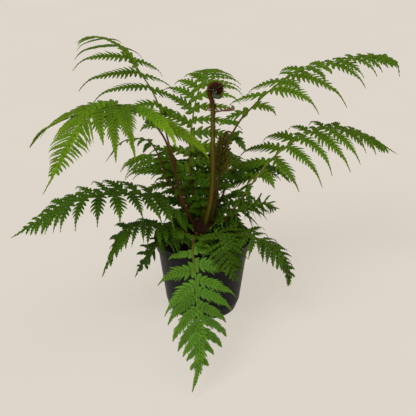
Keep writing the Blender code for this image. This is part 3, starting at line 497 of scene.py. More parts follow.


# Each frond as in the solids: its root, in degrees round the crown and its height there, the
# bare share of its stalk, its two rows of side leaves and the route of its midrib in
# millimetres. crowding and left_offset say where the leaves stand along it. The rest is looks:
# cut       pitch of the lobes, share that stays uncut, how slim the lobes are
# wide      greatest half width of the side leaves
# closer    the share from which small leaves stand between each two of the main ones, with
#           more as their number, loose as how far they turn in degrees, and small as what
#           share of the usual length they have
# low       number of small leaves on the bare stalk, and their length in millimetres
# whole     how far side leaves are toothed rather than cut
# fingers   the share from which they are slim fingers, their half width and uncut share
# merged    the share from which the end blade takes their place
# end       the share at which the end blade starts, and its half width
# green and stipe are the colours; the darker greens are partly painted shade on the low, inner and rim
# fronds.
FRONDS = {
    "frond_front": dict(
        root=(262, TIER_MIDDLE), bare=0.22,
        left=row((50, 68, 84, 76, 64, 62, 52, 36, 24, 12), (4, 16, 36, 42, 46), 0, 0.45),
        right=row((48, 78, 84, 80, 76, 68, 54, 38, 24, 12),
                  (-4, -4, 36, 42, 45, 48, 48, 48, 46), 0, 0.45),
        cut=(0.0066, 0.42, 0.0), wide=(0.0185, 0.0185, 0.0180, 0.0150, 0.0080),
        whole=(0.0, 0.15, 0.80, 1.0, 1.0), merged=0.90, fingers=(0.80, 0.0062, 0.85),
        end=(0.66, 0.0165), low=(3, 34), green="fresh",
        route=((-11, -45, 172), (-18, -95, 171), (-16, -125, 156), (-12, -155, 132), (-10, -192, 112),
               (-6, -232, 94), (-4, -278, 70), (-7, -310, 42), (-17, -338, 12))),
    "frond_left_arching": dict(
        root=(212, TIER_HIGH), bare=0.44, crowding=0.80,
        left=row((140, 140, 166, 140, 86, 64, 54, 44, 34, 24, 14), (-46, 22, 40, 26, 14, 16, 30),
                 (20, 0, 0, 0, 0, 0, 0), (0.70, 0.70, 1.15, 0.60, 0.45, 0.35, 0.30)),
        right=row((60, 222, 168, 118, 92, 75, 62, 48, 35, 24, 14), (42, 42, 30, 24, 30),
                  (-12, -12, -8, -4, 0), (0.90, 0.85, 0.35, 0.25), whole=(1.0, 0.9, 0.5, 0.5, 0.5)),
        cut=(0.0092, 0.38, 0.0), wide=(0.0250, 0.0190, 0.0150, 0.0110), closer=0.44, more=2,
        whole=0.4, fingers=(0.44, 0.0032, 0.78), end=(0.74, 0.0105), green="bright",
        route=((-32, -14, 212), (-43, -20, 252), (-57, -28, 314), (-67, -38, 356), (-82, -50, 387),
               (-100, -64, 415), (-122, -82, 434), (-154, -108, 447), (-185, -140, 443),
               (-206, -166, 428), (-230, -205, 390), (-243, -222, 367), (-263, -244, 333))),
    "frond_high_right": dict(
        root=(52, TIER_HIGH), bare=0.37,
        left=row((70, 95, 105, 62, 48, 40, 28, 16), (-42, 10), 6, 0.52),
        right=row((56, 130, 152, 52, 104, 80, 52, 30), (20, 46), 0, (0.60, 0.75, 1.00, 1.00, 0.60)),
        cut=(0.0096, 0.24, 0.06), wide=0.0170, closer=0.20, small=(0.4, 0.4, 0.45, 1.0, 1.0),
        low=(4, 42), green="middle",
        route=((24, 24, 224), (43, 45, 309), (56, 60, 336), (74, 75, 362), (92, 90, 377),
               (120, 105, 401), (154, 120, 424), (177, 130, 439), (230, 145, 449), (270, 155, 457),
               (309, 160, 464), (349, 165, 462), (381, 165, 448), (390, 162, 420))),
    "frond_right": dict(
        root=(8, TIER_MIDDLE), bare=0.27,
        left=row((115, 125, 130, 95, 82, 70, 58, 46, 32, 20), (-35, 30), (2, 18, 18, 14, 6),
                 (0.75, 0.85, 1.00, 0.90, 0.70), closer=0.30),
        right=row((54, 106, 140, 118, 134, 116, 76, 66, 44, 24), (-8, 44), 0, 0.92),
        cut=(0.0086, 0.32, 0.02), wide=0.0175, closer=0.72, small=(0.4, 0.4, 0.45, 1.0, 1.0),
        low=(6, 46), green="middle", stipe=STIPE_TAN,
        route=((34, 6, 172), (57, 22, 192), (77, 36, 215), (104, 56, 247), (135, 76, 279),
               (171, 94, 304), (219, 115, 323), (263, 130, 323), (330, 145, 303), (395, 150, 262))),
    "frond_back_left": dict(
        root=(148, TIER_HIGH), bare=0.36, left_offset=0.80,
        left=row((60, 100, 148, 150, 144, 120, 72, 30), (9, 30), 5, 0.50),
        right=row((100, 102, 100, 96, 86, 72, 54, 32), (-32, -8), -5, 0.60),
        cut=(0.0092, 0.24, 0.08), wide=0.0140, closer=0.74, fingers=(0.64, 0.0052, 0.72),
        end=(0.68, 0.0095), low=(4, 40), green="middle",
        route=((-32, 21, 222), (-61, 45, 305), (-78, 66, 372), (-97, 85, 415), (-117, 100, 442),
               (-150, 125, 484), (-189, 140, 503), (-222, 152, 503), (-250, 160, 489))),
    "frond_low_left": dict(
        root=(202, TIER_LOW), bare=0.22,
        left=row((60, 90, 96, 90, 80, 84, 80, 72, 58, 40, 24), (5, 0, 25, 38), 0, 0.75),
        right=row((60, 72, 80, 82, 78, 72, 62, 52, 40, 28, 16), (8, 36), 20, 0.85, closer=0.25),
        cut=(0.0090, 0.34, 0.02), wide=0.0160, closer=0.62, small=(0.5, 0.45, 0.50, 1.0, 1.0),
        low=(3, 44), green="deep",
        route=((-45, -28, 200), (-70, -46, 234), (-97, -62, 258), (-127, -80, 270), (-161, -95, 275),
               (-196, -105, 275), (-244, -115, 262), (-280, -120, 243), (-346, -126, 202))),
    "frond_back_centre": dict(
        root=(114, TIER_HIGH), bare=0.26,
        left=row((82, 95, 108, 108, 100, 92, 80, 64, 48, 26), (8, 24, 34, 28), 0, 0.65),
        right=row((86, 99, 112, 106, 98, 92, 88, 80, 60, 34), (8, 28), 0, 0.65),
        cut=(0.0090, 0.30, 0.04), wide=0.0150, closer=0.66, fingers=(0.80, 0.0055, 0.72),
        low=(6, 50), green="middle",
        route=((-16, 26, 212), (-25, 48, 274), (-25, 65, 314), (-21, 88, 350), (-14, 115, 384),
               (-4, 147, 410), (10, 190, 424), (28, 240, 416))),
    "frond_stunted_left": dict(
        root=(180, TIER_HIGH), bare=0.60,
        left=row((36, 24, 14, 12, 11, 10, 9), (8, 28), 0, 1.0),
        right=row((30, 16, 12, 11, 10, 9, 8), (8, 28), 0, 1.0),
        cut=(0.0070, 0.25, 0.10), wide=0.0070, closer=0.70, green="deep",
        route=((-30, 0, 200), (-51, 2, 238), (-68, 4, 271), (-78, 5, 297), (-88, 8, 322),
               (-100, 12, 338), (-124, 20, 341), (-156, 25, 330), (-186, 30, 290))),
    "frond_short_left": dict(
        root=(228, TIER_LOW), bare=0.20, **small_rows(8, 64, 0.80, 0.80),
        cut=(0.0082, 0.34, 0.02), wide=0.0140, green="shade",
        route=((-40, -36, 180), (-84, -56, 196), (-121, -67, 202), (-148, -73, 190), (-169, -78, 154),
               (-190, -82, 100))),
    "frond_short_right": dict(
        root=(332, TIER_LOW), bare=0.18, **small_rows(8, 60, 0.80, 0.80),
        cut=(0.0082, 0.36, 0.02), wide=0.0150, green="olive",
        route=((40, -20, 166), (72, -45, 174), (102, -62, 172), (129, -75, 161), (150, -86, 145),
               (162, -92, 121), (160, -96, 87))),
    "frond_short_front": dict(
        root=(304, TIER_LOW), bare=0.16, **small_rows(8, 64, 0.85, 0.60),
        cut=(0.0076, 0.30, 0.06), wide=0.0150, low=(5, 40), green="olive",
        route=((22, -34, 168), (32, -64, 183), (38, -90, 180), (44, -107, 166), (51, -118, 147),
               (60, -124, 128), (70, -126, 108))),
    "frond_rim_left": dict(
        root=(252, TIER_LOW), bare=0.18, **small_rows(7, 48, 0.90, 0.60, loose=34, more=2),
        cut=(0.0070, 0.36, 0.02), wide=0.0140, low=(4, 36), green="dark",
        route=((-28, -38, 163), (-52, -66, 177), (-77, -86, 176), (-97, -98, 162), (-114, -104, 138),
               (-126, -107, 112))),
    "frond_inner_left": dict(
        root=(164, TIER_MIDDLE), bare=0.20, **small_rows(7, 70, 0.90, 0.50, loose=40),
        cut=(0.0085, 0.38, 0.0), wide=0.0180, low=(5, 44), green="shade",
        route=((-36, 12, 190), (-46, 20, 226), (-55, 26, 262), (-66, 34, 292), (-80, 42, 312),
               (-102, 50, 320))),
    "frond_inner_back": dict(
        root=(82, TIER_HIGH), bare=0.24, **small_rows(7, 75, 0.90, 0.50, loose=40),
        cut=(0.0085, 0.38, 0.0), wide=0.0180, low=(6, 48), green="shade", stipe=STIPE_GREEN,
        route=((1, 26, 196), (-2, 38, 232), (-4, 54, 262), (-6, 78, 286), (-10, 108, 294),
               (-14, 140, 284))),
    "frond_inner_right": dict(
        root=(344, TIER_MIDDLE), bare=0.16, **small_rows(7, 66, 0.90, 0.60, loose=52, more=4),
        cut=(0.0092, 0.46, 0.0), wide=0.0230, low=(11, 64), green="olive",
        route=((40, -6, 180), (64, -4, 199), (91, 0, 212), (117, 2, 215), (148, 0, 205))),
    "frond_back_right": dict(
        root=(52, TIER_LOW), bare=0.30, **small_rows(6, 82, 0.85, 0.60),
        cut=(0.0088, 0.40, 0.0), wide=0.0160, low=(3, 44), green="deep",
        route=((28, 38, 186), (46, 74, 222), (66, 103, 238), (91, 132, 243), (120, 160, 236),
               (155, 190, 212), (185, 212, 174))),
    "frond_rear_left": dict(
        root=(136, TIER_LOW), bare=0.30, **small_rows(5, 85, 0.80, 0.70),
        cut=(0.0086, 0.38, 0.0), wide=0.0125, low=(3, 46), green="middle",
        route=((-34, 32, 184), (-62, 72, 232), (-88, 112, 256), (-112, 152, 258), (-134, 196, 236),
               (-150, 238, 188))),
    "frond_rear_right": dict(
        root=(94, TIER_LOW), bare=0.30, **small_rows(5, 85, 0.80, 0.70),
        cut=(0.0086, 0.38, 0.0), wide=0.0125, low=(3, 46), green="middle",
        route=((0, 46, 182), (10, 90, 226), (22, 132, 250), (38, 176, 252), (56, 222, 228),
               (70, 262, 180))),
}
# What a frond has unless its own entry says otherwise
PLAIN = dict(left_offset=LEFT_OFFSET, crowding=LEAF_CROWDING, closer=1.0, more=1, loose=0.0, small=1.0,
             low=(0, 0.0), whole=0.0, fingers=(1.0, 0.0, FINGER_UNCUT), merged=1.0,
             end=(END_START, END_HALF), stipe=STIPE_BROWN)


def in_metres(points):
    return np.array(points) * MILLIMETRE


def unit(vectors):
    return vectors / np.maximum(np.linalg.norm(vectors, axis=-1, keepdims=True), 1e-12)


def towards(x, y, z):
    return unit(np.array([x, y, z]))


def mixed(first, second, share):
    """Colours between two colours, one for each share."""
    share = np.asarray(share)[..., None]
    return np.asarray(first) * (1.0 - share) + np.asarray(second) * share


def ramp(value, start, length):
    """From nought at the start to one a length further on."""
    return np.clip((value - start) / length, 0.0, 1.0)


class Surface:
    """Points, faces and point values of one piece, gathered part by part."""

    def __init__(self):
        self.points, self.place, self.hue = [], [], []
        self.faces = {3: [], 4: []}
        self.finish = {3: [], 4: []}
        self.count = 0

    def add(self, points, place, hue, threes=(), fours=(), finish=0):
        points = np.asarray(points, float).reshape(-1, 3)
        self.points.append(points)
        self.place.append(np.broadcast_to(np.asarray(place, float), points.shape))
        self.hue.append(np.broadcast_to(np.asarray(hue, float), points.shape))
        for sides, faces in ((3, threes), (4, fours)):
            faces = np.asarray(faces, int).reshape(-1, sides) + self.count
            self.faces[sides].append(faces)
            self.finish[sides].append(np.full(len(faces), finish))
        self.count += len(points)

    def made(self, name, finishes, sharp=50.0):
        """The finished object, with its values as the attributes place and hue."""
        points = np.concatenate(self.points)
        threes, fours = (np.concatenate(self.faces[sides]) for sides in (3, 4))
        corners = np.concatenate([threes.ravel(), fours.ravel()])
        totals = np.repeat([3, 4], [len(threes), len(fours)])
        mesh = bpy.data.meshes.new(name)
        mesh.vertices.add(len(points))
        mesh.vertices.foreach_set("co", points.astype(np.float32).ravel())
        mesh.loops.add(len(corners))
        mesh.loops.foreach_set("vertex_index", corners.astype(np.int32))
        mesh.polygons.add(len(totals))
        mesh.polygons.foreach_set("loop_start", (np.cumsum(totals) - totals).astype(np.int32))
        finish = np.concatenate(self.finish[3] + self.finish[4])
        for item in finishes:
            mesh.materials.append(item)
        mesh.polygons.foreach_set("material_index", finish.astype(np.int32))
        mesh.update(calc_edges=True)
        place = mesh.attributes.new("place", "FLOAT_VECTOR", "POINT")
        place.data.foreach_set("vector", np.concatenate(self.place).astype(np.float32).ravel())
        hue = mesh.attributes.new("hue", "FLOAT_COLOR", "POINT")
        colours = np.ones((len(points), 4), np.float32)
        colours[:, :3] = np.clip(np.concatenate(self.hue), 0.0, 1.0)
        hue.data.foreach_set("color", colours.ravel())
        mesh.shade_smooth()
        mesh.set_sharp_from_angle(angle=math.radians(sharp))
        item = bpy.data.objects.new(name, mesh)
        bpy.context.scene.collection.objects.link(item)
        return item


def lengths_of(line):
    return np.linalg.norm(np.diff(line, axis=0), axis=1)


def smooth_line(points, samples=160, steps=24):
    """Evenly spaced points on one smooth curve through the given points."""
    knots = np.asarray(points, float)
    knots = np.vstack([knots[0] * 2 - knots[1], knots, knots[-1] * 2 - knots[-2]])
    t = (np.arange(steps) / steps)[:, None]
    dense = []
    for before, start, end, after in zip(knots, knots[1:], knots[2:], knots[3:]):
        dense.append(0.5 * (2 * start + (end - before) * t
                            + (2 * before - 5 * start + 4 * end - after) * t ** 2
                            + (3 * start - before - 3 * end + after) * t ** 3))
    dense = np.vstack(dense + [knots[-2]])
    travelled = np.concatenate([[0.0], np.cumsum(lengths_of(dense))])
    goals = np.linspace(0.0, travelled[-1], samples + 1)
    return np.stack([np.interp(goals, travelled, dense[:, k]) for k in range(3)], axis=1)


def at_shares(line, shares):
    """The points of an evenly spaced line at one share or at an array of them."""
    own = np.linspace(0.0, 1.0, len(line))
    return np.stack([np.interp(shares, own, line[:, k]) for k in range(3)], axis=-1)


def heading_at(line, share):
    """The direction of an evenly spaced line at a share, taken over five of its steps."""
    index = min(int(share * (len(line) - 1)), len(line) - 2)
    return unit(line[min(index + 3, len(line) - 1)] - line[max(index - 2, 0)])


def arc(start, heading, length, droop, steps, hook=0.0):
    """A line of given length that bends down more and more, and at its end a little extra."""
    t = (np.arange(steps) + 0.5) / steps
    bend = droop * t + hook * np.maximum(0.0, t - HOOK_START) / (1.0 - HOOK_START)
    steps_taken = unit(heading - UP * bend[:, None]) * (length / steps)
    return np.vstack([start, start + np.cumsum(steps_taken, axis=0)])


def turned_frames(line):
    """Directions along a line, with a normal and a side carried along it without twist."""
    heading = unit(np.gradient(line, axis=0))
    normal = np.zeros_like(heading)
    first = UP if abs(heading[0][2]) < 0.9 else np.array([0.0, -1.0, 0.0])
    normal[0] = unit(first - heading[0] * (first @ heading[0]))
    for i in range(1, len(line)):
        normal[i] = unit(normal[i - 1] - heading[i] * (normal[i - 1] @ heading[i]))
    return heading, normal, np.cross(heading, normal)


def rings(line, sides):
    """Directions all round each point of a line."""
    normal, side = turned_frames(line)[1:]
    turn = (FULL_TURN * np.arange(sides) / sides)[None, :, None]
    return normal[:, None, :] * np.cos(turn) + side[:, None, :] * np.sin(turn)


def skin(rows, sides):
    """Faces of a closed skin over rings of points, which the point of each end follows."""
    index = np.arange(rows * sides).reshape(rows, sides)
    after = np.roll(index, -1, axis=1)
    fours = np.stack([index[:-1], index[1:], after[1:], after[:-1]], axis=-1)
    threes = [(rows * sides, index[0, k], after[0, k]) for k in range(sides)]
    threes += [(rows * sides + 1, after[-1, k], index[-1, k]) for k in range(sides)]
    return threes, fours


def add_tube(surface, line, radii, sides, hue, finish=0):
    """A closed tube along a line, with its own radius and colour at each point."""
    rows = len(line)
    radii = np.broadcast_to(np.asarray(radii, float), (rows,))
    points = line[:, None, :] + rings(line, sides) * radii[:, None, None]
    hue = np.asarray(hue, float)
    if hue.ndim < 3:
        hue = np.broadcast_to(hue, (rows, 3))[:, None, :]
    hue = np.broadcast_to(hue, (rows, sides, 3))
    surface.add(np.vstack([points.reshape(-1, 3), line[0], line[-1]]), 0.0,
                np.vstack([hue.reshape(-1, 3), hue[0, 0], hue[-1, 0]]), *skin(rows, sides), finish)


def add_flakes(surface, roots, outward, onward, lengths, widths, hue, finish=0):
    """Thin pointed scales that stand on a surface: four faces each."""
    across = unit(np.cross(onward, outward))
    lengths, widths = lengths[:, None], widths[:, None]
    left = roots - across * widths * 0.5
    right = roots + across * widths * 0.5
    back = roots - onward * widths * 0.4 + outward * widths * 0.35
    tip = roots + unit(onward + outward * 0.35) * lengths
    points = np.stack([left, right, back, tip], axis=1)
    base = 4 * np.arange(len(roots))[:, None, None]
    faces = base + np.array([[0, 3, 1], [0, 1, 2], [0, 2, 3], [1, 3, 2]])
    surface.add(points, 0.0, np.repeat(hue, 4, axis=0), faces, (), finish)


def add_scales(surface, line, radii, where, kind, flare, lengths, hue):
    """Scales on a stalk at points of its line, laid along it and a little outwards."""
    depth, tones, widths = kind
    count = len(where)
    heading, normal, side = turned_frames(line)
    turn = draws.uniform(0.0, FULL_TURN, count)[:, None]
    outward = unit(normal[where] * np.cos(turn) + side[where] * np.sin(turn))
    onward = unit(heading[where] + outward * flare + draws.normal(0.0, SCALE_SPREAD, (count, 3)))
    roots = line[where] + outward * radii[where][:, None] * depth
    tone = draws.uniform(*tones, count)[:, None]
    add_flakes(surface, roots, outward, onward, draws.uniform(*lengths, count),
               draws.uniform(*widths, count), np.array(hue) * tone, SECOND_FINISH)


def add_hairs(surface, line, radii, count, lengths, hue, flare):
    where = draws.integers(1, len(line) - 1, count)
    add_scales(surface, line, radii, where, HAIR_KIND, flare, lengths, hue)


def half_width(shares, whole):
    """The outline of a side leaf between a cut one and a whole one."""
    return np.interp(shares, *CUT_OUTLINE) * (1.0 - whole) + np.interp(shares, *WHOLE_OUTLINE) * whole


def lobe_faces(rows):
    """Faces of one lobe, whose points are its upper rows of three, its tip and its under side."""
    low, vein, high = (3 * np.arange(rows - 1) + k for k in range(3))
    tip, last = 3 * (rows - 1), rows - 2
    under = np.concatenate([[vein[0]], tip + 1 + np.arange(last)])
    fours = []
    for k in range(last):
        fours += [(low[k], low[k + 1], vein[k + 1], vein[k]), (vein[k], vein[k + 1], high[k + 1], high[k]),
                  (low[k], under[k], under[k + 1], low[k + 1]),
                  (under[k], high[k], high[k + 1], under[k + 1])]
    threes = [(low[last], tip, vein[last]), (vein[last], tip, high[last]),
              (low[last], under[last], tip), (under[last], high[last], tip)]
    return np.array(threes), np.array(fours)


def in_order(upper, under):
    """Values of lobes in the order of their points, from grids for the upper and the under side."""
    return np.concatenate([upper[:, :-1].reshape(len(upper), -1, 3), upper[:, -1, 1][:, None],
                           under[:, 1:-1, 1]], axis=1).reshape(-1, 3)


def add_lobes(surface, spine, top_side, length, width, cut, hues, whole=0.0):
    """The two cut halves of one side leaf, every lobe a thin closed blade vaulted over its vein."""
    pitch, uncut, slim = cut
    lobes = max(LEAST_LOBES, round(length / pitch))
    first = -FOOT_OVERLAP / lobes
    heading = unit(np.gradient(spine, axis=0))
    normal = unit(top_side - heading * (heading * top_side).sum(axis=1, keepdims=True))
    shrinking = 1.0 - (1.0 - np.arange(lobes + 1) / lobes) ** LOBE_SHORTENING
    edges = first + (LAST_LOBE_END - first) * shrinking
    middle = (edges[1:] + edges[:-1]) / 2.0
    reach = (edges[1:] - edges[:-1])[:, None, None]
    join = uncut + (TIP_UNCUT - uncut) * ramp(middle, *UNCUT_RAMP) ** JOIN_POWER
    join = join * (FOOT_JOIN + (1.0 - FOOT_JOIN) * ramp(middle, *FOOT_RAMP))
    narrow = TIP_NARROWING * ramp(middle, *NARROWING_RAMP)
    out, wide = [np.zeros(lobes), join], [np.ones(lobes), np.ones(lobes)]
    for to_tip, share in LOBE_ROWS:
        out.append(join + (1.0 - join) * to_tip)
        wide.append((share + (1.0 - to_tip - share) * narrow) * (1.0 - slim))
    out = np.stack(out + [np.ones(lobes)], axis=1)
    wide = np.stack(wide + [np.zeros(lobes)], axis=1)[:, :, None]
    rows = out.shape[1]
    out = np.repeat(out[:, :, None], 3, axis=2)
    column = np.array([-1.0, 0.0, 1.0])
    arched = 1.0 - column ** 2
    at = middle[:, None, None] + 0.5 * reach * wide * column
    sweep = np.radians(LOBE_SWEEP * np.minimum(1.0, at / SWEEP_RISE - SWEEP_BACK) + LOBE_SWEEP_GAIN * at)
    size = width * half_width(at, whole) / np.cos(sweep + LOBE_CURVE / 2.0)
    sideways = (np.sin(sweep + LOBE_CURVE * out) - np.sin(sweep)) / LOBE_CURVE * size
    forward = (np.cos(sweep) - np.cos(sweep + LOBE_CURVE * out)) / LOBE_CURVE * size
    vault = VAULT * length * reach * wide * arched
    height = vault * np.minimum(1.0, out * VAULT_GAIN) - LOBE_SAG * out ** 2 * size + LOBE_RISE * out * size
    thick = BLADE_HALF_THICKNESS * arched * np.minimum(1.0, out * THICK_GAIN)
    point, ahead, up, outward = (at_shares(values, at) for values in
                                 (spine, heading, normal, np.cross(heading, normal)))
    fast, late, sudden = TIP_GREEN
    hue = mixed(*hues, np.clip(at * fast - late, 0.0, 1.0) ** sudden)
    place = np.stack([np.broadcast_to(column, out.shape), out, at], axis=-1)
    start = (3 * (rows - 1) + 1 + (rows - 2)) * np.arange(lobes)[:, None, None]
    threes, fours = ((start + faces).reshape(-1, faces.shape[1]) for faces in lobe_faces(rows))
    for hand in (-1, 1):
        grown = draws.uniform(*LOBE_GROWTH, (lobes, 1, 1))
        body = point + outward * (hand * sideways * grown)[..., None]
        body = body + ahead * (forward * grown)[..., None]
        top = body + up * (height + thick)[..., None]
        bottom = body + up * (height - thick)[..., None]
        surface.add(in_order(top, bottom), in_order(place, place), in_order(hue, hue),
                    threes[:, ::hand], fours[:, ::hand])


def value_at(values, out):
    """A value along a row of side leaves: one for all, or in even steps through a few."""
    if not isinstance(values, tuple):
        return values
    return float(np.interp(out, np.linspace(0.0, 1.0, len(values)), values))


def row_of(plan, hand):
    return plan["left"] if hand < 0 else plan["right"]


def leaf_frame(plan, line, hand, out):
    """Where on the stalk a side leaf stands, and the directions that it is set out from. A
    negative out lies on the stalk below the first leaves."""
    if out < 0.0:
        share = plan["bare"] * (1.0 + out)
    else:
        share = plan["bare"] + (STALK_END - plan["bare"]) * out ** plan["crowding"]
    heading = heading_at(line, share)
    normal = unit(UP - heading * (UP @ heading))
    return share, (heading, normal, np.cross(heading, normal) * hand)


def leaf_aims(leaves, out, directions, lifts, sweeps):
    """The directions in which a side leaf may leave the stalk, one for each lift and sweep."""
    heading, normal, side = directions
    forward = np.radians(value_at(leaves["sweeps"], out) + sweeps)[:, None]
    rise = np.radians(value_at(leaves["lift"], out) + lifts)[:, None]
    flat = side * np.cos(forward) + heading * np.sin(forward)
    return flat * np.cos(rise) + normal * np.sin(rise)


def tree_of(node):
    points = [vertex.co for vertex in node.data.vertices]
    tree = KDTree(len(points))
    for i, point in enumerate(points):
        tree.insert(point, i)
    tree.balance()
    return tree


def solid_leaves(plan, line, centres, tree):
    """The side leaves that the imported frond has: each one's size and angles are the first choice
    whose tip is a corner of the frond's solid. Its stalk is straight between its centres."""
    lifts = np.repeat(BLADE_LIFTS, len(BLADE_SWEEPS)).astype(float)
    sweeps = np.tile(BLADE_SWEEPS, len(BLADE_LIFTS)).astype(float)
    found = []
    count = len(plan["left"]["lengths"])
    for i in range(count):
        for hand, offset in ((-1, plan["left_offset"]), (1, RIGHT_OFFSET)):
            leaves = row_of(plan, hand)
            out = (i + offset) / count
            share, directions = leaf_frame(plan, line, hand, out)
            aims = leaf_aims(leaves, out, directions, lifts, sweeps)
            length = leaves["lengths"][i]
            root = at_shares(centres, min(share / STALK_END, 1.0))
            match = solid_match(length, value_at(leaves["droop"], out), root, aims, tree)
            if match is not None:
                scale, choice = match
                found.append(dict(hand=hand, out=out, length=length * scale, lift=lifts[choice],
                                  sweep=sweeps[choice]))
    return found


def solid_match(length, droop, root, aims, tree):
    for scale in BLADE_SCALES:
        size = length * scale
        steps = max(2, min(MOST_TEETH, round(size / TOOTH_PITCH))) + 1
        for choice, aim in enumerate(aims):
            tip = arc(root + aim * LEAF_NECK, aim, size - LEAF_NECK, droop, steps)[-1]
            if tree.find(tip)[2] < SAME_POINT:
                return scale, choice
    return None


def with_closer_leaves(leaves, plan, hand):
    """The side leaves of one hand, with more between each two from a share outwards, which stand
    looser and may be smaller, and none of them quite alike."""
    more, loose = plan["more"], plan["loose"]
    closer = row_of(plan, hand).get("closer", plan["closer"])
    full = []
    for one, other in zip(leaves, leaves[1:] + [None]):
        full.append(one)
        if other is not None and one["out"] >= closer:
            for k in range(more):
                part = (k + 1.0) / (more + 1.0)
                added = {key: one[key] * (1.0 - part) + other[key] * part for key in one}
                added["length"] *= value_at(plan["small"], added["out"])
                added["lift"] += draws.uniform(-loose, loose)
                added["sweep"] += draws.uniform(-loose, loose) * LOOSE_SWEEP
                full.append(added)
    for leaf in full:
        leaf["length"] *= draws.uniform(*LEAF_LENGTHS)
        leaf["lift"] += draws.uniform(-UNEVEN, UNEVEN)
        leaf["sweep"] += draws.uniform(-UNEVEN, UNEVEN)
    return full


def low_leaves(plan, hand):
    """Small leaves on the stalk below the first full ones."""
    count, length = plan["low"]
    return [dict(hand=hand, out=-LOW_REACH * (k + draws.uniform(0.1, 0.9)) / count,
                 length=length * MILLIMETRE * draws.uniform(*LOW_SIZES),
                 lift=draws.uniform(*LOW_LIFTS), sweep=draws.uniform(*LOW_SWEEPS))
            for k in range(count)]


def leaf_shape(plan, leaf, spacing):
    """The half width of a side leaf, how it is cut, and how far it is whole."""
    length, out = leaf["length"], leaf["out"]
    width = min(value_at(plan["wide"], out), max(NARROWEST_HALF, OVERLAP * spacing),
                CUT_SLIM * length + CUT_LEAST)
    width *= draws.uniform(*LEAF_WIDTHS)
    whole = min(1.0, max(0.0, (SHORT_LEAF - length) / SHORT_LEAF * SHORT_GAIN))
    whole = max(whole, value_at(row_of(plan, leaf["hand"]).get("whole", plan["whole"]), out))
    width = width * (1.0 - whole) + min(width, SHORT_SLIM * length + SHORT_LEAST) * whole
    fingers, finger_half, finger_uncut = plan["fingers"]
    if out > fingers:
        whole = 1.0
        width = finger_half * draws.uniform(*FINGER_WIDTHS)
    pitch, uncut, slim = plan["cut"]
    uncut = uncut + (finger_uncut - uncut) * whole
    cut = (pitch * (1.0 - WHOLE_FINER * whole), uncut, slim * (1.0 - whole))
    return width, cut, whole


def greens(name):
    return np.array(GREENS[name])


def add_side_leaf(surface, plan, line, leaf, spacing):
    """One side leaf: its cut halves and its rib."""
    share, directions = leaf_frame(plan, line, leaf["hand"], leaf["out"])
    root, normal = at_shares(line, share), directions[1]
    leaves, length = row_of(plan, leaf["hand"]), leaf["length"]
    aim = leaf_aims(leaves, leaf["out"], directions, np.array([leaf["lift"]]),
                    np.array([leaf["sweep"]]))[0]
    spine = np.vstack([root, arc(root + aim * LEAF_NECK, aim, length - LEAF_NECK,
                                 value_at(leaves["droop"], leaf["out"]), SPINE_STEPS, TIP_HOOK)])
    facing = normal * (1.0 - FACING_SHARE) + FACING * FACING_SHARE
    top_side = unit(facing - aim * (facing @ aim))
    across = np.cross(aim, top_side)
    run = np.linspace(0.0, 1.0, len(spine))[:, None]
    spine = spine + across * np.sin(math.pi * run) * (BOW * length * draws.uniform(-1.0, 1.0))
    lean = np.radians(draws.uniform(-LEAN, LEAN) + TWIST * draws.uniform(-1.0, 1.0) * run)
    top_side = top_side * np.cos(lean) + across * np.sin(lean)
    width, cut, whole = leaf_shape(plan, leaf, spacing)
    shade = draws.uniform(*LEAF_TONES)
    warm = draws.uniform(*LEAF_WARMTHS)
    # low leaves take the painted-shade green
    hues = greens(plan["green"] if leaf["out"] >= 0.0 else LOW_PAINTED_SHADE_GREEN) * (shade * warm, shade, shade)
    add_lobes(surface, spine, top_side, length, width, cut, hues, whole)
    shares = np.linspace(0.0, 1.0, RIB_STATIONS)
    radii = np.interp(shares, *RIB_RADII) * min(1.0, RIB_LEAST + length * RIB_GAIN)
    add_tube(surface, at_shares(spine, shares * LAST_LOBE_END), radii, RIB_SIDES,
             mixed(hues[0] * RIB_BRIGHTER + RIB_PALE, hues[1], shares))


def stalk_hues(plan, shares):
    """From maroon brown at the crown over brown to green along the midrib."""
    turning = plan["bare"]
    first = mixed(STIPE_MAROON, plan["stipe"], ramp(shares, 0.0, max(turning, LEAST_BROWN)))
    return mixed(first, greens(plan["green"])[0] * STALK_BRIGHTER + STALK_PALE,
                 ramp(shares, turning * GREEN_START, GREEN_RAMP))


def add_stalk(surface, plan, line):
    """The round stalk and midrib, with brown scales on its lower part."""
    shares = np.linspace(0.0, LAST_LOBE_END, STALK_STATIONS)
    thinner = np.minimum(shares / STALK_END, 1.0) ** STALK_THINNING
    radii = STALK_RADIUS + (STALK_TIP_RADIUS - STALK_RADIUS) * thinner
    closing = STALK_TIP_RADIUS * (1.0 - (shares - STALK_END) / STALK_CLOSING)
    radii = np.where(shares > STALK_END, closing, radii)
    points = at_shares(line, shares)
    add_tube(surface, points, radii, STALK_SIDES, stalk_hues(plan, shares), SECOND_FINISH)
    count = int(STALK_SCALES * (plan["bare"] + SCALES_BEYOND))
    where = draws.random(count) ** SCALES_THINNING * (plan["bare"] + SCALES_REACH) * (len(shares) - 1)
    add_scales(surface, points, radii, where.astype(int) + 1, STALK_SCALE_KIND, 0.0,
               STALK_SCALE_LENGTHS, SCALE_BROWN)


def add_end(surface, plan, line):
    """The blade that the midrib runs out into, cut deeply at first and then toothed."""
    start, half = plan["end"]
    spine = at_shares(line, np.linspace(start, 1.0, END_STATIONS))
    heading = heading_at(line, 1.0)
    length = float(lengths_of(spine).sum())
    base, tip_hue = greens(plan["green"])
    pitch, uncut, slim = plan["cut"]
    add_lobes(surface, spine, unit(UP - heading * (UP @ heading)), length, min(half, END_SLIM * length),
              (pitch, (uncut + FINGER_UNCUT) / 2.0, slim), ((base + tip_hue) / 2.0, tip_hue), END_WHOLE)


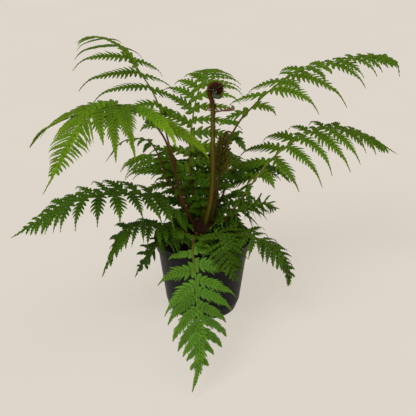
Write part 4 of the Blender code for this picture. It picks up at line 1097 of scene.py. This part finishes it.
def make_frond(name, plan, finishes):
    degrees, height = plan["root"]
    turn = math.radians(degrees)
    root = (ROOT_RING * math.cos(turn), ROOT_RING * math.sin(turn), height)
    line = smooth_line(np.vstack([root, in_metres(plan["route"])]))
    total = float(lengths_of(line).sum())
    count = max(LEAST_CENTRES, round(total / CENTRE_STEP) + 1)
    centres = at_shares(line, np.linspace(0.0, STALK_END, count))
    leaves = solid_leaves(plan, line, centres, tree_of(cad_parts[name]))
    print(name, len(leaves), "side leaves of", 2 * len(plan["left"]["lengths"]))
    surface = Surface()
    for hand in (-1, 1):
        own = [leaf for leaf in leaves if leaf["hand"] == hand and leaf["out"] < plan["merged"]]
        own = with_closer_leaves(own, plan, hand)
        shares = [leaf_frame(plan, line, hand, leaf["out"])[0] for leaf in own]
        for i, leaf in enumerate(own):
            before = shares[i] - shares[i - 1] if i else shares[1] - shares[0]
            after = shares[i + 1] - shares[i] if i + 1 < len(own) else before
            add_side_leaf(surface, plan, line, leaf, total * (before + after) / 2.0)
        for leaf in low_leaves(plan, hand):
            add_side_leaf(surface, plan, line, leaf, leaf["length"])
    add_end(surface, plan, line)
    add_stalk(surface, plan, line)
    return surface.made(name + "_leaf", finishes)


def rolled_head(neck, ahead, across, radius, core, turns, count):
    """Points of a spiral that leaves the neck along ahead and rolls up towards across."""
    share = ((np.arange(count) + 1.0) / count)[:, None]
    turn = FULL_TURN * turns * share
    reach = radius + (core - radius) * share
    return neck + across * radius + (ahead * np.sin(turn) - across * np.cos(turn)) * reach


def add_roll(surface, centre, first, second, kind, hue, points=ROLL_POINTS):
    """A small leaf rolled up in the plane of two directions, as it lies in an unrolling head."""
    radius, tube_radius, turns = kind
    share = np.linspace(0.0, 1.0, points)[:, None]
    turn = FULL_TURN * turns * share
    reach = radius * (1.0 - ROLL_TIGHTENING * share)
    line = centre + (first * np.cos(turn) + second * np.sin(turn)) * reach
    radii = tube_radius * (1.0 - ROLL_THINNING * share[:, 0])
    add_tube(surface, line, radii, ROLL_SIDES, np.asarray(hue) * (ROLL_TONE - ROLL_DARKENING * share))


def striped(line, rows_hue, edge_hue, sides):
    """Colours round a stalk: its own green in front and behind, and brown along its two edges."""
    edge = ramp(np.abs(rings(line, sides)[:, :, 0] + EDGE_SHIFT), *EDGE_RAMP)[..., None]
    return rows_hue[:, None, :] * (1.0 - edge) + np.asarray(edge_hue) * edge


def add_head_rolls(surface, head, middle):
    """The leaflets of the rolled head, each rolled up itself, in two rows round it."""
    for i in range(LEAFLET_ROLLS):
        k = int(FIRST_HEAD_ROLL + (len(head) - 3 * FIRST_HEAD_ROLL) * i / (LEAFLET_ROLLS - 1))
        inward = unit(middle - head[k])
        for hand in (-1.0, 1.0):
            size = HEAD_ROLL_RADIUS - HEAD_ROLL_SHRINKING * i / (LEAFLET_ROLLS - 1)
            size = size * draws.uniform(*HEAD_ROLL_SIZES)
            out = towards(draws.uniform(-HEAD_ROLL_LEAN, HEAD_ROLL_LEAN), hand,
                          draws.uniform(-HEAD_ROLL_LEAN, HEAD_ROLL_LEAN))
            centre = (head[k] + out * (HEAD_ROLL_OUT + size * HEAD_ROLL_OUT_SHARE)
                      + inward * (HEAD_ROLL_IN + size * HEAD_ROLL_IN_SHARE))
            hue = np.array(ROLLED_GREEN) * draws.uniform(*HEAD_ROLL_TONES)
            if draws.random() < MAROON_SHARE:
                hue = ROLLED_MAROON
            kind = (size, size * HEAD_ROLL_TUBE, HEAD_ROLL_TURNS)
            add_roll(surface, centre, -inward, out, kind, hue)


def make_crozier(finishes):
    """The thick hairy stalk with its rolled head, its curled bud and the bud on a side stalk."""
    surface = Surface()
    stem = at_shares(smooth_line(in_metres(CROZIER_ROUTE)), np.linspace(0.0, 1.0, STEM_POINTS))
    ahead, across = towards(*HEAD_AHEAD), towards(*HEAD_ACROSS)
    bend = np.array([stem[-1] + ahead * BEND_REACH - across * BEND_STEP,
                     stem[-1] + ahead * (2.0 * BEND_REACH)])
    head = rolled_head(bend[-1], ahead, across, ROLL_RADIUS, ROLL_CORE_RADIUS, ROLL_TURNS, HEAD_POINTS)
    line = smooth_line(np.vstack([stem[::6], bend, head[2::4], head[-1]]), CROZIER_POINTS)
    length = lengths_of(line).cumsum()
    share = np.concatenate([[0.0], length / length[-1]])
    neck = lengths_of(stem).sum() / length[-1]
    radii = np.interp(share, [0.0, neck, neck + NECK_TURN, 1.0],
                      [CROZIER_RADIUS, CROZIER_NECK_RADIUS, ROLL_TUBE_RADIUS, ROLL_TIP_RADIUS])
    green = mixed(*CROZIER_GREENS, ramp(share, 0.0, neck))
    brown = ramp(share, neck * (1.0 - NECK_TURN), NECK_TURN)[:, None]
    hue = striped(line, green * (1.0 - brown) + ROLLED_BROWN * brown, CROZIER_EDGE, CROZIER_SIDES)
    add_tube(surface, line, radii, CROZIER_SIDES, hue)
    top = int(neck * len(line))
    for start, end, hairs in ((0, top, STALK_HAIRS), (top - NECK_HAIRY, top, NECK_HAIRS),
                              (top - HEAD_HAIRY, len(line) - HEAD_BALD, HEAD_HAIRS)):
        add_hairs(surface, line[start:end], radii[start:end], *hairs)
    middle = bend[-1] + across * ROLL_RADIUS
    add_head_rolls(surface, head, middle)
    add_roll(surface, middle, ahead, across, MIDDLE_ROLL, ROLLED_MAROON)
    lump_line = smooth_line(middle + LUMP_MIDDLE + np.array(LUMP_PLACES), LUMP_POINTS - 1)
    lump_radii = np.interp(np.linspace(0.0, 1.0, LUMP_POINTS), *LUMP_RADII)
    add_tube(surface, lump_line, lump_radii, LUMP_SIDES, ROLLED_GREEN)
    add_hairs(surface, lump_line, np.full(LUMP_POINTS, LUMP_HAIR_RADIUS), *LUMP_HAIRS)
    side_line = smooth_line(in_metres(SIDE_BUD_ROUTE), SIDE_BUD_POINTS)
    run = np.linspace(0.0, 1.0, len(side_line))
    side_radii = np.interp(run, np.linspace(0.0, 1.0, len(SIDE_BUD_RADII)), SIDE_BUD_RADII)
    add_tube(surface, side_line, side_radii, SIDE_BUD_SIDES, mixed(*SIDE_STALK_HUES, run ** 3))
    add_hairs(surface, side_line[:SIDE_BUD_HAIRY], side_radii[:SIDE_BUD_HAIRY], *SIDE_BUD_HAIRS)
    for i in range(KNOBS):
        spot = side_line[KNOB_START + KNOB_STEP * i] + UP * KNOB_LIFT
        add_roll(surface, spot, UP, towards(0.0, -1.0, 0.0), KNOB_ROLL, KNOB_BROWN, KNOB_POINTS)
    add_roll(surface, CURLED_BUD_PLACE, towards(-1.0, 0.0, 0.0), UP, CURLED_BUD_ROLL, BUD_BROWN)
    return surface.made("crozier_head", finishes)


def add_folded_leaf(surface, place, heading, hand, length):
    """A side leaf of the young frond: folded together, with small rolls along its rib."""
    out = towards(FOLDED_SIDE * hand + FOLDED_RIGHT, FOLDED_FRONT, 0.0)
    first = place + (out * FOLDED_MIDDLE[0] + heading * FOLDED_MIDDLE[1]) * length * FOLDED_HALFWAY
    second = place + (out * FOLDED_END[0] + heading * FOLDED_END[1]) * length
    line = smooth_line([place, first, second], FOLDED_POINTS)
    run = np.linspace(0.0, 1.0, len(line))
    radii = np.interp(run, *FOLDED_RADII)
    add_tube(surface, line, radii, FOLDED_SIDES, mixed(HAIR_MAROON, FOLDED_RIB, run))
    add_hairs(surface, line, radii, *FOLDED_HAIRS)
    for turned in (-1.0, 1.0):
        facing = towards(0.35 * turned, -1.0, 0.25)
        hues = np.array([FOLDED_OLIVE, FOLDED_BROWN]) * draws.uniform(*FOLDED_TONES)
        spine = line + facing * FOLDED_GAP * turned
        add_lobes(surface, spine, facing, length, FOLDED_HALF, FOLDED_CUT, hues)
    for k in range(FOLDED_ROLLS):
        spot = line[3 + 4 * k - k // 5]
        for turned in (-1.0, 1.0):
            away = unit(np.cross(heading, out)) * turned
            add_roll(surface, spot + away * FOLDED_ROLL_GAP, away, heading, FOLDED_ROLL,
                     np.array(FOLDED_OLIVE) * draws.uniform(*FOLDED_ROLL_TONES), KNOB_POINTS)


def make_young_frond(finishes):
    """The second unrolling frond: slim stalk, small rolled tip, side leaves still folded."""
    surface = Surface()
    stem = at_shares(smooth_line(in_metres(YOUNG_ROUTE)), np.linspace(0.0, 1.0, YOUNG_STEM_POINTS))
    head = rolled_head(stem[-1], towards(*YOUNG_AHEAD), towards(*YOUNG_ACROSS), YOUNG_ROLL_RADIUS,
                       YOUNG_CORE_RADIUS, YOUNG_TURNS, YOUNG_HEAD_POINTS)
    line = smooth_line(np.vstack([stem[::6], head[1::4], head[-1]]), YOUNG_POINTS)
    share = np.linspace(0.0, 1.0, len(line))
    radii = np.interp(share, [0.0, YOUNG_NECK, 1.0],
                      [YOUNG_RADIUS, YOUNG_NECK_RADIUS, YOUNG_TIP_RADIUS])
    own = mixed(*YOUNG_HUES, ramp(share, 0.5, 0.3))
    add_tube(surface, line, radii, YOUNG_SIDES, striped(line, own, YOUNG_EDGE, YOUNG_SIDES))
    add_hairs(surface, line, radii, *YOUNG_HAIRS)
    heading = unit(stem[-1] - stem[-10])
    for i in range(FOLDED_PAIRS):
        place = at_shares(stem, 1.0 - FOLDED_SHARE * (1.0 - i / FOLDED_PAIRS))
        length = FOLDED_LENGTH * (1.0 - FOLDED_SHRINKING * i / (FOLDED_PAIRS - 1))
        for hand in (-1, 1):
            add_folded_leaf(surface, place, heading, hand, length)
    return surface.made("young_frond_head", finishes)


def turned_points(profile, segments):
    """Rings of points of a body turned about Z, and its two ends, from a profile between them."""
    profile = np.asarray(profile, float)
    inner = profile[1:-1]
    turn = FULL_TURN * np.arange(segments) / segments
    points = np.zeros((len(inner), segments, 3))
    points[:, :, :2] = inner[:, None, :1] * np.stack([np.cos(turn), np.sin(turn)], axis=1)
    points[:, :, 2] = inner[:, 1][:, None]
    ends = np.zeros((2, 3))
    ends[:, 2] = profile[0, 1], profile[-1, 1]
    return points, ends


def turned_surface(points, ends, hue):
    surface = Surface()
    surface.add(np.vstack([points.reshape(-1, 3), ends]), 0.0, hue, *skin(*points.shape[:2]))
    return surface


def rounded(profile, radius, steps=5):
    """A profile whose corners are turned into small curves."""
    corners = np.asarray(profile, float)
    soft = [corners[0]]
    for before, corner, after in zip(corners, corners[1:], corners[2:]):
        back, ahead = before - corner, after - corner
        cut = min(radius, 0.45 * np.linalg.norm(back), 0.45 * np.linalg.norm(ahead))
        start = corner + unit(back) * cut
        end = corner + unit(ahead) * cut
        for t in np.linspace(0.0, 1.0, steps):
            soft.append((1 - t) ** 2 * start + 2 * t * (1 - t) * corner + t ** 2 * end)
    soft.append(corners[-1])
    return soft


def make_pot(finishes):
    """The thin pot with its chamfered foot, rim band, rolled lip and drain holes."""
    band_bottom = POT_HEIGHT - BAND_HEIGHT
    lip_bottom = POT_HEIGHT - LIP_HEIGHT
    profile = [
        (0.0, POT_WALL), (FOOT_RADIUS - POT_WALL, POT_WALL),
        (CHAMFER_RADIUS - POT_WALL, CHAMFER_HEIGHT + CORNER),
        (WALL_TOP_RADIUS - POT_WALL, band_bottom + CORNER),
        (BAND_RADIUS - POT_WALL, band_bottom + POT_WALL), (RIM_RADIUS - LIP_WIDTH, POT_HEIGHT),
        (RIM_RADIUS, POT_HEIGHT), (RIM_RADIUS, lip_bottom), (BAND_RADIUS + LIP_STEP, lip_bottom - CORNER),
        (BAND_RADIUS, band_bottom), (WALL_TOP_RADIUS, band_bottom - CORNER),
        (CHAMFER_RADIUS, CHAMFER_HEIGHT), (FOOT_RADIUS, 0.0), (0.0, 0.0)]
    points, ends = turned_points(rounded(profile, CORNER_ROUNDING), POT_SEGMENTS)
    pot = turned_surface(points, ends, 0.5).made("pot_shell", finishes, 35.0)
    cutters = []
    for i in range(DRAIN_COUNT):
        turn = FULL_TURN * (i + 0.5) / DRAIN_COUNT
        bpy.ops.mesh.primitive_cylinder_add(
            vertices=DRAIN_SEGMENTS, radius=DRAIN_RADIUS, depth=CHAMFER_HEIGHT,
            location=(DRAIN_RING * math.cos(turn), DRAIN_RING * math.sin(turn), 0.0))
        cutters.append(bpy.context.object)
        hole = pot.modifiers.new("drain_hole", "BOOLEAN")
        hole.object = cutters[-1]
        hole.solver = "EXACT"
    bpy.context.view_layer.update()
    graph = bpy.context.evaluated_depsgraph_get()
    mesh = bpy.data.meshes.new_from_object(pot.evaluated_get(graph))
    pot.modifiers.clear()
    pot.data = mesh
    for cutter in cutters:
        bpy.data.objects.remove(cutter)
    return pot


def soil_height(radius):
    """The mix is a low dome that drops a little before the wall."""
    return SOIL_TOP + SOIL_DOME * (1.0 - 2.0 * ramp(radius, SOIL_BORE, SOIL_WALL - SOIL_BORE) ** 1.5)


def add_crumbs(surface, count, sizes, hues):
    """Chips of bark and grains that lie on the mix."""
    inner, outer = SOIL_BORE + CHIP_INSIDE, SOIL_WALL - CHIP_OUTSIDE
    cube = np.array([[x, y, z] for x in (-1, 1) for y in (-1, 1) for z in (-1, 1)]) * 0.5
    faces = [(0, 1, 3, 2), (4, 6, 7, 5), (0, 4, 5, 1), (2, 3, 7, 6), (0, 2, 6, 4), (1, 5, 7, 3)]
    for _ in range(count):
        radius = math.sqrt(draws.uniform(inner ** 2, outer ** 2))
        turn = draws.uniform(0.0, FULL_TURN)
        size = draws.uniform(*sizes)
        size = size * np.array([1.0, draws.uniform(*CHIP_BREADTHS), draws.uniform(*CHIP_HEIGHTS)])
        shape = cube * size * draws.uniform(*CHIP_CORNERS, cube.shape)
        yaw = draws.uniform(0.0, FULL_TURN)
        pitch, roll = draws.normal(0.0, CHIP_TILT), draws.normal(0.0, CHIP_TILT)
        across = towards(math.cos(yaw), math.sin(yaw), pitch)
        up = towards(-pitch * math.cos(yaw) + roll * math.sin(yaw),
                     -pitch * math.sin(yaw) - roll * math.cos(yaw), 1.0)
        up = unit(up - across * (across @ up))
        turned = shape @ np.stack([across, np.cross(up, across), up])
        centre = (radius * math.cos(turn), radius * math.sin(turn), soil_height(radius) + CHIP_LIFT)
        hue = np.array(hues[draws.integers(len(hues))]) * draws.uniform(*CHIP_TONES)
        surface.add(turned + centre, 0.0, hue, (), faces)


def make_soil(finishes):
    """The potting mix: it fills the pot, and its top is rough with chips of bark."""
    bottom, seat = POT_WALL + SEAT_GAP, CROWN_BOTTOM - SEAT_GAP
    reach = np.linspace(SOIL_BORE, SOIL_WALL - SOIL_EDGE, SOIL_RINGS)
    top = [(radius, soil_height(radius)) for radius in reach]
    profile = [(0.0, seat), (SOIL_BORE, seat)] + top + [
        (SOIL_WALL, POT_HEIGHT - BAND_HEIGHT - SOIL_UNDER_BAND),
        (CHAMFER_RADIUS - bottom, CHAMFER_HEIGHT + SOIL_EDGE),
        (FOOT_RADIUS - bottom - SOIL_OFF_FOOT, bottom), (0.0, bottom)]
    points, ends = turned_points(profile, SOIL_SEGMENTS)
    for point in points[2:len(top)].reshape(-1, 3):
        place = Vector(point)
        point[2] += sum(height * noise.noise(place * scale) for height, scale in SOIL_BUMPS)
    surface = turned_surface(points, ends, SOIL_BROWN)
    add_crumbs(surface, *CHIPS, CHIP_HUES)
    add_crumbs(surface, *GRAINS, GRAIN_HUES)
    return surface.made("soil_mix", finishes, 30.0)


def make_crown(finishes):
    """The short trunk, covered in overlapping scales, with the stubs of old stalks."""
    top = CROWN_SHOULDER + CROWN_EDGE
    profile = [(CROWN_RADIUS * share, CROWN_TOP + rise) for share, rise in CROWN_DOME]
    for share in np.linspace(0.0, 1.0, CROWN_RINGS):
        bulge = min(1.0, share * CROWN_BULGE_GAIN + CROWN_BULGE_START)
        swelling = CROWN_SWELLING * math.sin(math.pi * bulge)
        profile.append((CROWN_RADIUS * (CROWN_WAIST + swelling), top + (CROWN_BOTTOM - top) * share))
    profile.append((0.0, CROWN_BOTTOM))
    points, ends = turned_points(profile, CROWN_SEGMENTS)
    for point in points.reshape(-1, 3):
        point[:2] *= 1.0 + CROWN_BUMPS[0] * noise.noise(Vector(point) * CROWN_BUMPS[1])
    surface = turned_surface(points, ends, CROWN_BROWN)
    turn = draws.uniform(0.0, FULL_TURN, CROWN_SCALES)
    height = draws.uniform(SOIL_TOP - CROWN_SCALES_BELOW, CROWN_TOP, CROWN_SCALES)
    lean = ramp(height, CROWN_SHOULDER, CROWN_TOP - CROWN_SHOULDER)
    radius = CROWN_RADIUS * (CROWN_SCALE_RING - CROWN_SCALE_NARROWING * lean ** CROWN_SCALE_LATE)
    outward = unit(np.stack([np.cos(turn), np.sin(turn), lean * CROWN_SCALE_RISE], axis=1))
    roots = np.stack([radius * np.cos(turn), radius * np.sin(turn), height], axis=1)
    roots = roots - outward * CROWN_SCALE_DEPTH
    onward = unit(UP + outward * CROWN_SCALE_FLARE
                  + draws.normal(0.0, CROWN_SCALE_SPREAD, (CROWN_SCALES, 3)))
    tone = draws.uniform(*CROWN_SCALE_TONES, CROWN_SCALES)[:, None]
    add_flakes(surface, roots, outward, onward, draws.uniform(*CROWN_SCALE_LENGTHS, CROWN_SCALES),
               draws.uniform(*CROWN_SCALE_WIDTHS, CROWN_SCALES), np.array(SCALE_BROWN) * tone)
    for i in range(STUBS):
        turn = FULL_TURN * (i * STUB_TURN)
        flat = np.array([math.cos(turn), math.sin(turn), 0.0])
        low = flat * CROWN_RADIUS * STUB_RING + UP * (STUB_HEIGHT + STUB_STEP * i)
        outward = flat + UP * STUB_LEAN
        places = [low, low + outward * STUB_HALFWAY, low + outward * STUB_LENGTH]
        line = smooth_line(places, STUB_POINTS - 1)
        add_tube(surface, line, np.linspace(*STUB_RADII, STUB_POINTS), STUB_SIDES,
                 mixed(*STUB_HUES, np.linspace(0.0, 1.0, STUB_POINTS)))
    return surface.made("crown_scales", finishes)


class Graph:
    """The nodes of one material, linked as they are made."""

    def __init__(self, name, roughness):
        self.item = bpy.data.materials.new(name)
        self.item.use_nodes = True
        self.tree = self.item.node_tree
        self.shader = self.tree.nodes["Principled BSDF"]
        self.shader.inputs["Roughness"].default_value = roughness

    def put(self, socket, value):
        if isinstance(value, bpy.types.NodeSocket):
            self.tree.links.new(value, socket)
        else:
            socket.default_value = value

    def set(self, name, value):
        self.put(self.shader.inputs[name], value)

    def node(self, kind, inputs, outlet=0, **settings):
        made = self.tree.nodes.new("ShaderNode" + kind)
        for key, value in settings.items():
            setattr(made, key, value)
        for key, value in inputs.items():
            self.put(made.inputs[key], value)
        return made.outputs[outlet]

    def hue(self):
        return self.node("Attribute", {}, "Color", attribute_name="hue")

    def math(self, operation, first, second=0.0):
        return self.node("Math", {0: first, 1: second}, operation=operation)

    def times(self, first, second):
        return self.math("MULTIPLY", first, second)

    def range(self, value, low, high, first=0.0, last=1.0):
        return self.node("MapRange", {"Value": value, "From Min": low, "From Max": high,
                                      "To Min": first, "To Max": last})

    def mix(self, share, first, second, kind="MIX"):
        return self.node("Mix", {0: share, 6: first, 7: second}, 2, data_type="RGBA", blend_type=kind)

    def noise(self, scale, detail=3.0, stretch=(1.0, 1.0, 1.0)):
        spot = self.node("TexCoord", {}, "Object")
        place = self.node("Mapping", {"Vector": spot, "Scale": stretch})
        return self.node("TexNoise", {"Vector": place, "Scale": scale, "Detail": detail}, "Fac")

    def tone(self, colour, value, spread):
        """A colour made darker and lighter by a value from nought to one."""
        bright = self.range(value, 0.25, 0.75, 1.0 - spread, 1.0 + spread)
        grey = self.node("CombineColor", {0: bright, 1: bright, 2: bright})
        return self.mix(1.0, colour, grey, "MULTIPLY")

    def bump(self, height, strength, distance):
        self.set("Normal", self.node("Bump", {"Height": height, "Strength": strength,
                                              "Distance": distance}))


def colour(values):
    return (*values, 1.0)


def leaf_material():
    """Leaf blade: paler veins in every lobe, forked side veins, painted shade in the notches, mottled
    greens, satin skin.
    """
    graph = Graph("fern_blade", 0.45)
    place = graph.node("Attribute", {}, "Vector", attribute_name="place")
    apart = graph.tree.nodes.new("ShaderNodeSeparateXYZ")
    graph.put(apart.inputs[0], place)
    across = graph.math("ABSOLUTE", apart.outputs[0])
    out = apart.outputs[1]
    vein = graph.range(across, *VEIN_EDGE, 1.0, 0.0)
    slanted = graph.math("SUBTRACT", graph.times(out, SIDE_VEINS), graph.times(across, SIDE_VEIN_SLANT))
    lines = graph.range(graph.math("SINE", graph.times(slanted, FULL_TURN)), SIDE_VEIN_EDGE, 1.0)
    # painted shade: darker towards the margins near each lobe's foot, where the lobes meet
    notch_shade = graph.times(graph.range(across, NOTCH_SHADE_START, 1.0), graph.range(out, 0.0, NOTCH_SHADE_END, 1.0, 0.0))
    patches = graph.noise(LEAF_PATCHES)
    grain = graph.noise(LEAF_GRAIN, 2.0)
    base = graph.tone(graph.tone(graph.hue(), patches, LEAF_PATCH_TONE), grain, LEAF_GRAIN_TONE)
    for share, strength, tint in ((notch_shade, NOTCH_SHADE_SHARE, NOTCH_SHADE_GREEN),
                                  (lines, SIDE_VEIN_SHARE, SIDE_VEIN_GREEN),
                                  (vein, VEIN_SHARE, VEIN_GREEN)):
        base = graph.mix(graph.times(share, strength), base, colour(tint))
    graph.set("Base Color", base)
    graph.set("Roughness", graph.range(patches, *NOISE_RANGE, *LEAF_ROUGHNESS))
    graph.set("Specular IOR Level", LEAF_SHINE)
    graph.bump(graph.math("SUBTRACT", grain, graph.times(lines, SIDE_VEIN_RELIEF)), *LEAF_RELIEF)
    return graph.item


def skin_material(name, roughness, spread, patch_scale, patch, drawn, relief, relief_scale):
    """A fibrous or scaly skin: its own colour, streaked and mottled, with a fine relief."""
    graph = Graph(name, roughness)
    patches = graph.noise(patch_scale, 4.0)
    streaks = graph.noise(relief_scale, 3.0, (1.0, 1.0, drawn))
    base = graph.tone(graph.tone(graph.hue(), patches, patch), streaks, patch * 0.8)
    graph.set("Base Color", base)
    graph.set("Roughness", graph.range(streaks, *NOISE_RANGE, roughness - spread, roughness + spread))
    graph.set("Specular IOR Level", SKIN_SHINE)
    graph.bump(streaks, 0.5, relief)
    return graph.item


def pot_material():
    """Charcoal plastic: satin, a little dusty, faintly ringed from its mould."""
    graph = Graph("pot_plastic", 0.42)
    clouds = graph.noise(POT_CLOUDS, 4.0)
    dust = graph.noise(POT_DUSTING, 5.0)
    fine = graph.noise(POT_FINE, 2.0)
    grooves = graph.noise(POT_RINGS, 2.0, POT_RING_STRETCH)
    base = graph.mix(graph.range(clouds, *POT_WORN_RANGE), colour(POT_BLACK), colour(POT_WORN))
    base = graph.mix(graph.range(dust, *POT_DUST_RANGE), base, colour(POT_DUST))
    graph.set("Base Color", base)
    wear = graph.math("ADD", graph.times(dust, 0.5), graph.times(clouds, 0.5))
    graph.set("Roughness", graph.range(wear, *POT_WEAR_RANGE, *POT_ROUGHNESS))
    graph.set("Specular IOR Level", POT_SHINE)
    height = graph.math("ADD", graph.times(grooves, RINGS_RELIEF), graph.times(fine, FINE_RELIEF))
    graph.bump(height, *POT_RELIEF)
    return graph.item


def floor_material():
    """Plain pale paper-like floor."""
    graph = Graph("plain_floor", 0.85)
    clouds = graph.noise(3.0, 2.0)
    paper = graph.mix(graph.range(clouds, *NOISE_RANGE), colour(FLOOR_DARK), colour(FLOOR_PALE))
    graph.set("Base Color", paper)
    graph.set("Specular IOR Level", 0.0)
    graph.set("Emission Color", paper)
    graph.set("Emission Strength", FLOOR_GLOW)
    return graph.item


def make_floor():
    mesh = bpy.data.meshes.new("floor")
    half = FLOOR_HALF
    corners = [(-half, -half, 0.0), (half, -half, 0.0), (half, half, 0.0), (-half, half, 0.0)]
    mesh.from_pydata(corners, [], [(0, 1, 2, 3)])
    mesh.materials.append(floor_material())
    floor = bpy.data.objects.new("floor", mesh)
    bpy.context.scene.collection.objects.link(floor)


def add_light(name, place, spread, power, tint):
    """A far, wide light that shines from a place towards the object."""
    light = bpy.data.lights.new(name, "SUN")
    light.angle = math.radians(spread)
    light.energy = power
    light.color = tint
    item = bpy.data.objects.new(name, light)
    item.location = place
    item.rotation_euler = (-Vector(place)).to_track_quat("-Z", "Y").to_euler()
    bpy.context.scene.collection.objects.link(item)


def light_scene():
    world = bpy.data.worlds.new("studio")
    bpy.context.scene.world = world
    world.use_nodes = True
    background = world.node_tree.nodes["Background"]
    background.inputs["Color"].default_value = colour(WORLD_COLOUR)
    background.inputs["Strength"].default_value = WORLD_STRENGTH
    for name, settings in LIGHTS.items():
        add_light(name, *settings)
    bpy.context.scene.view_settings.view_transform = "Standard"


def place_camera():
    lens = bpy.data.cameras.new("camera")
    lens.lens = CAMERA_LENS
    lens.sensor_width = SENSOR_WIDTH
    camera = bpy.data.objects.new("camera", lens)
    camera.location = CAMERA_PLACE
    camera.rotation_euler = (math.radians(90.0 - CAMERA_PITCH), 0.0, 0.0)
    bpy.context.scene.collection.objects.link(camera)
    bpy.context.scene.camera = camera


def settle(piece, node):
    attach(piece, "root")
    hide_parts(node)


place_camera()
light_scene()
make_floor()
blade = leaf_material()
stalk, unrolling, hair, bark, crumbs = (skin_material(name, *values) for name, values in SKINS.items())
settle(make_pot([pot_material()]), "pot")
settle(make_soil([crumbs]), "soil")
settle(make_crown([bark]), "crown")
settle(make_crozier([unrolling, hair]), "crozier")
settle(make_young_frond([unrolling, hair]), "young_frond")
for name, plan in FRONDS.items():
    settle(make_frond(name, {**PLAIN, **plan}, [blade, stalk]), name)
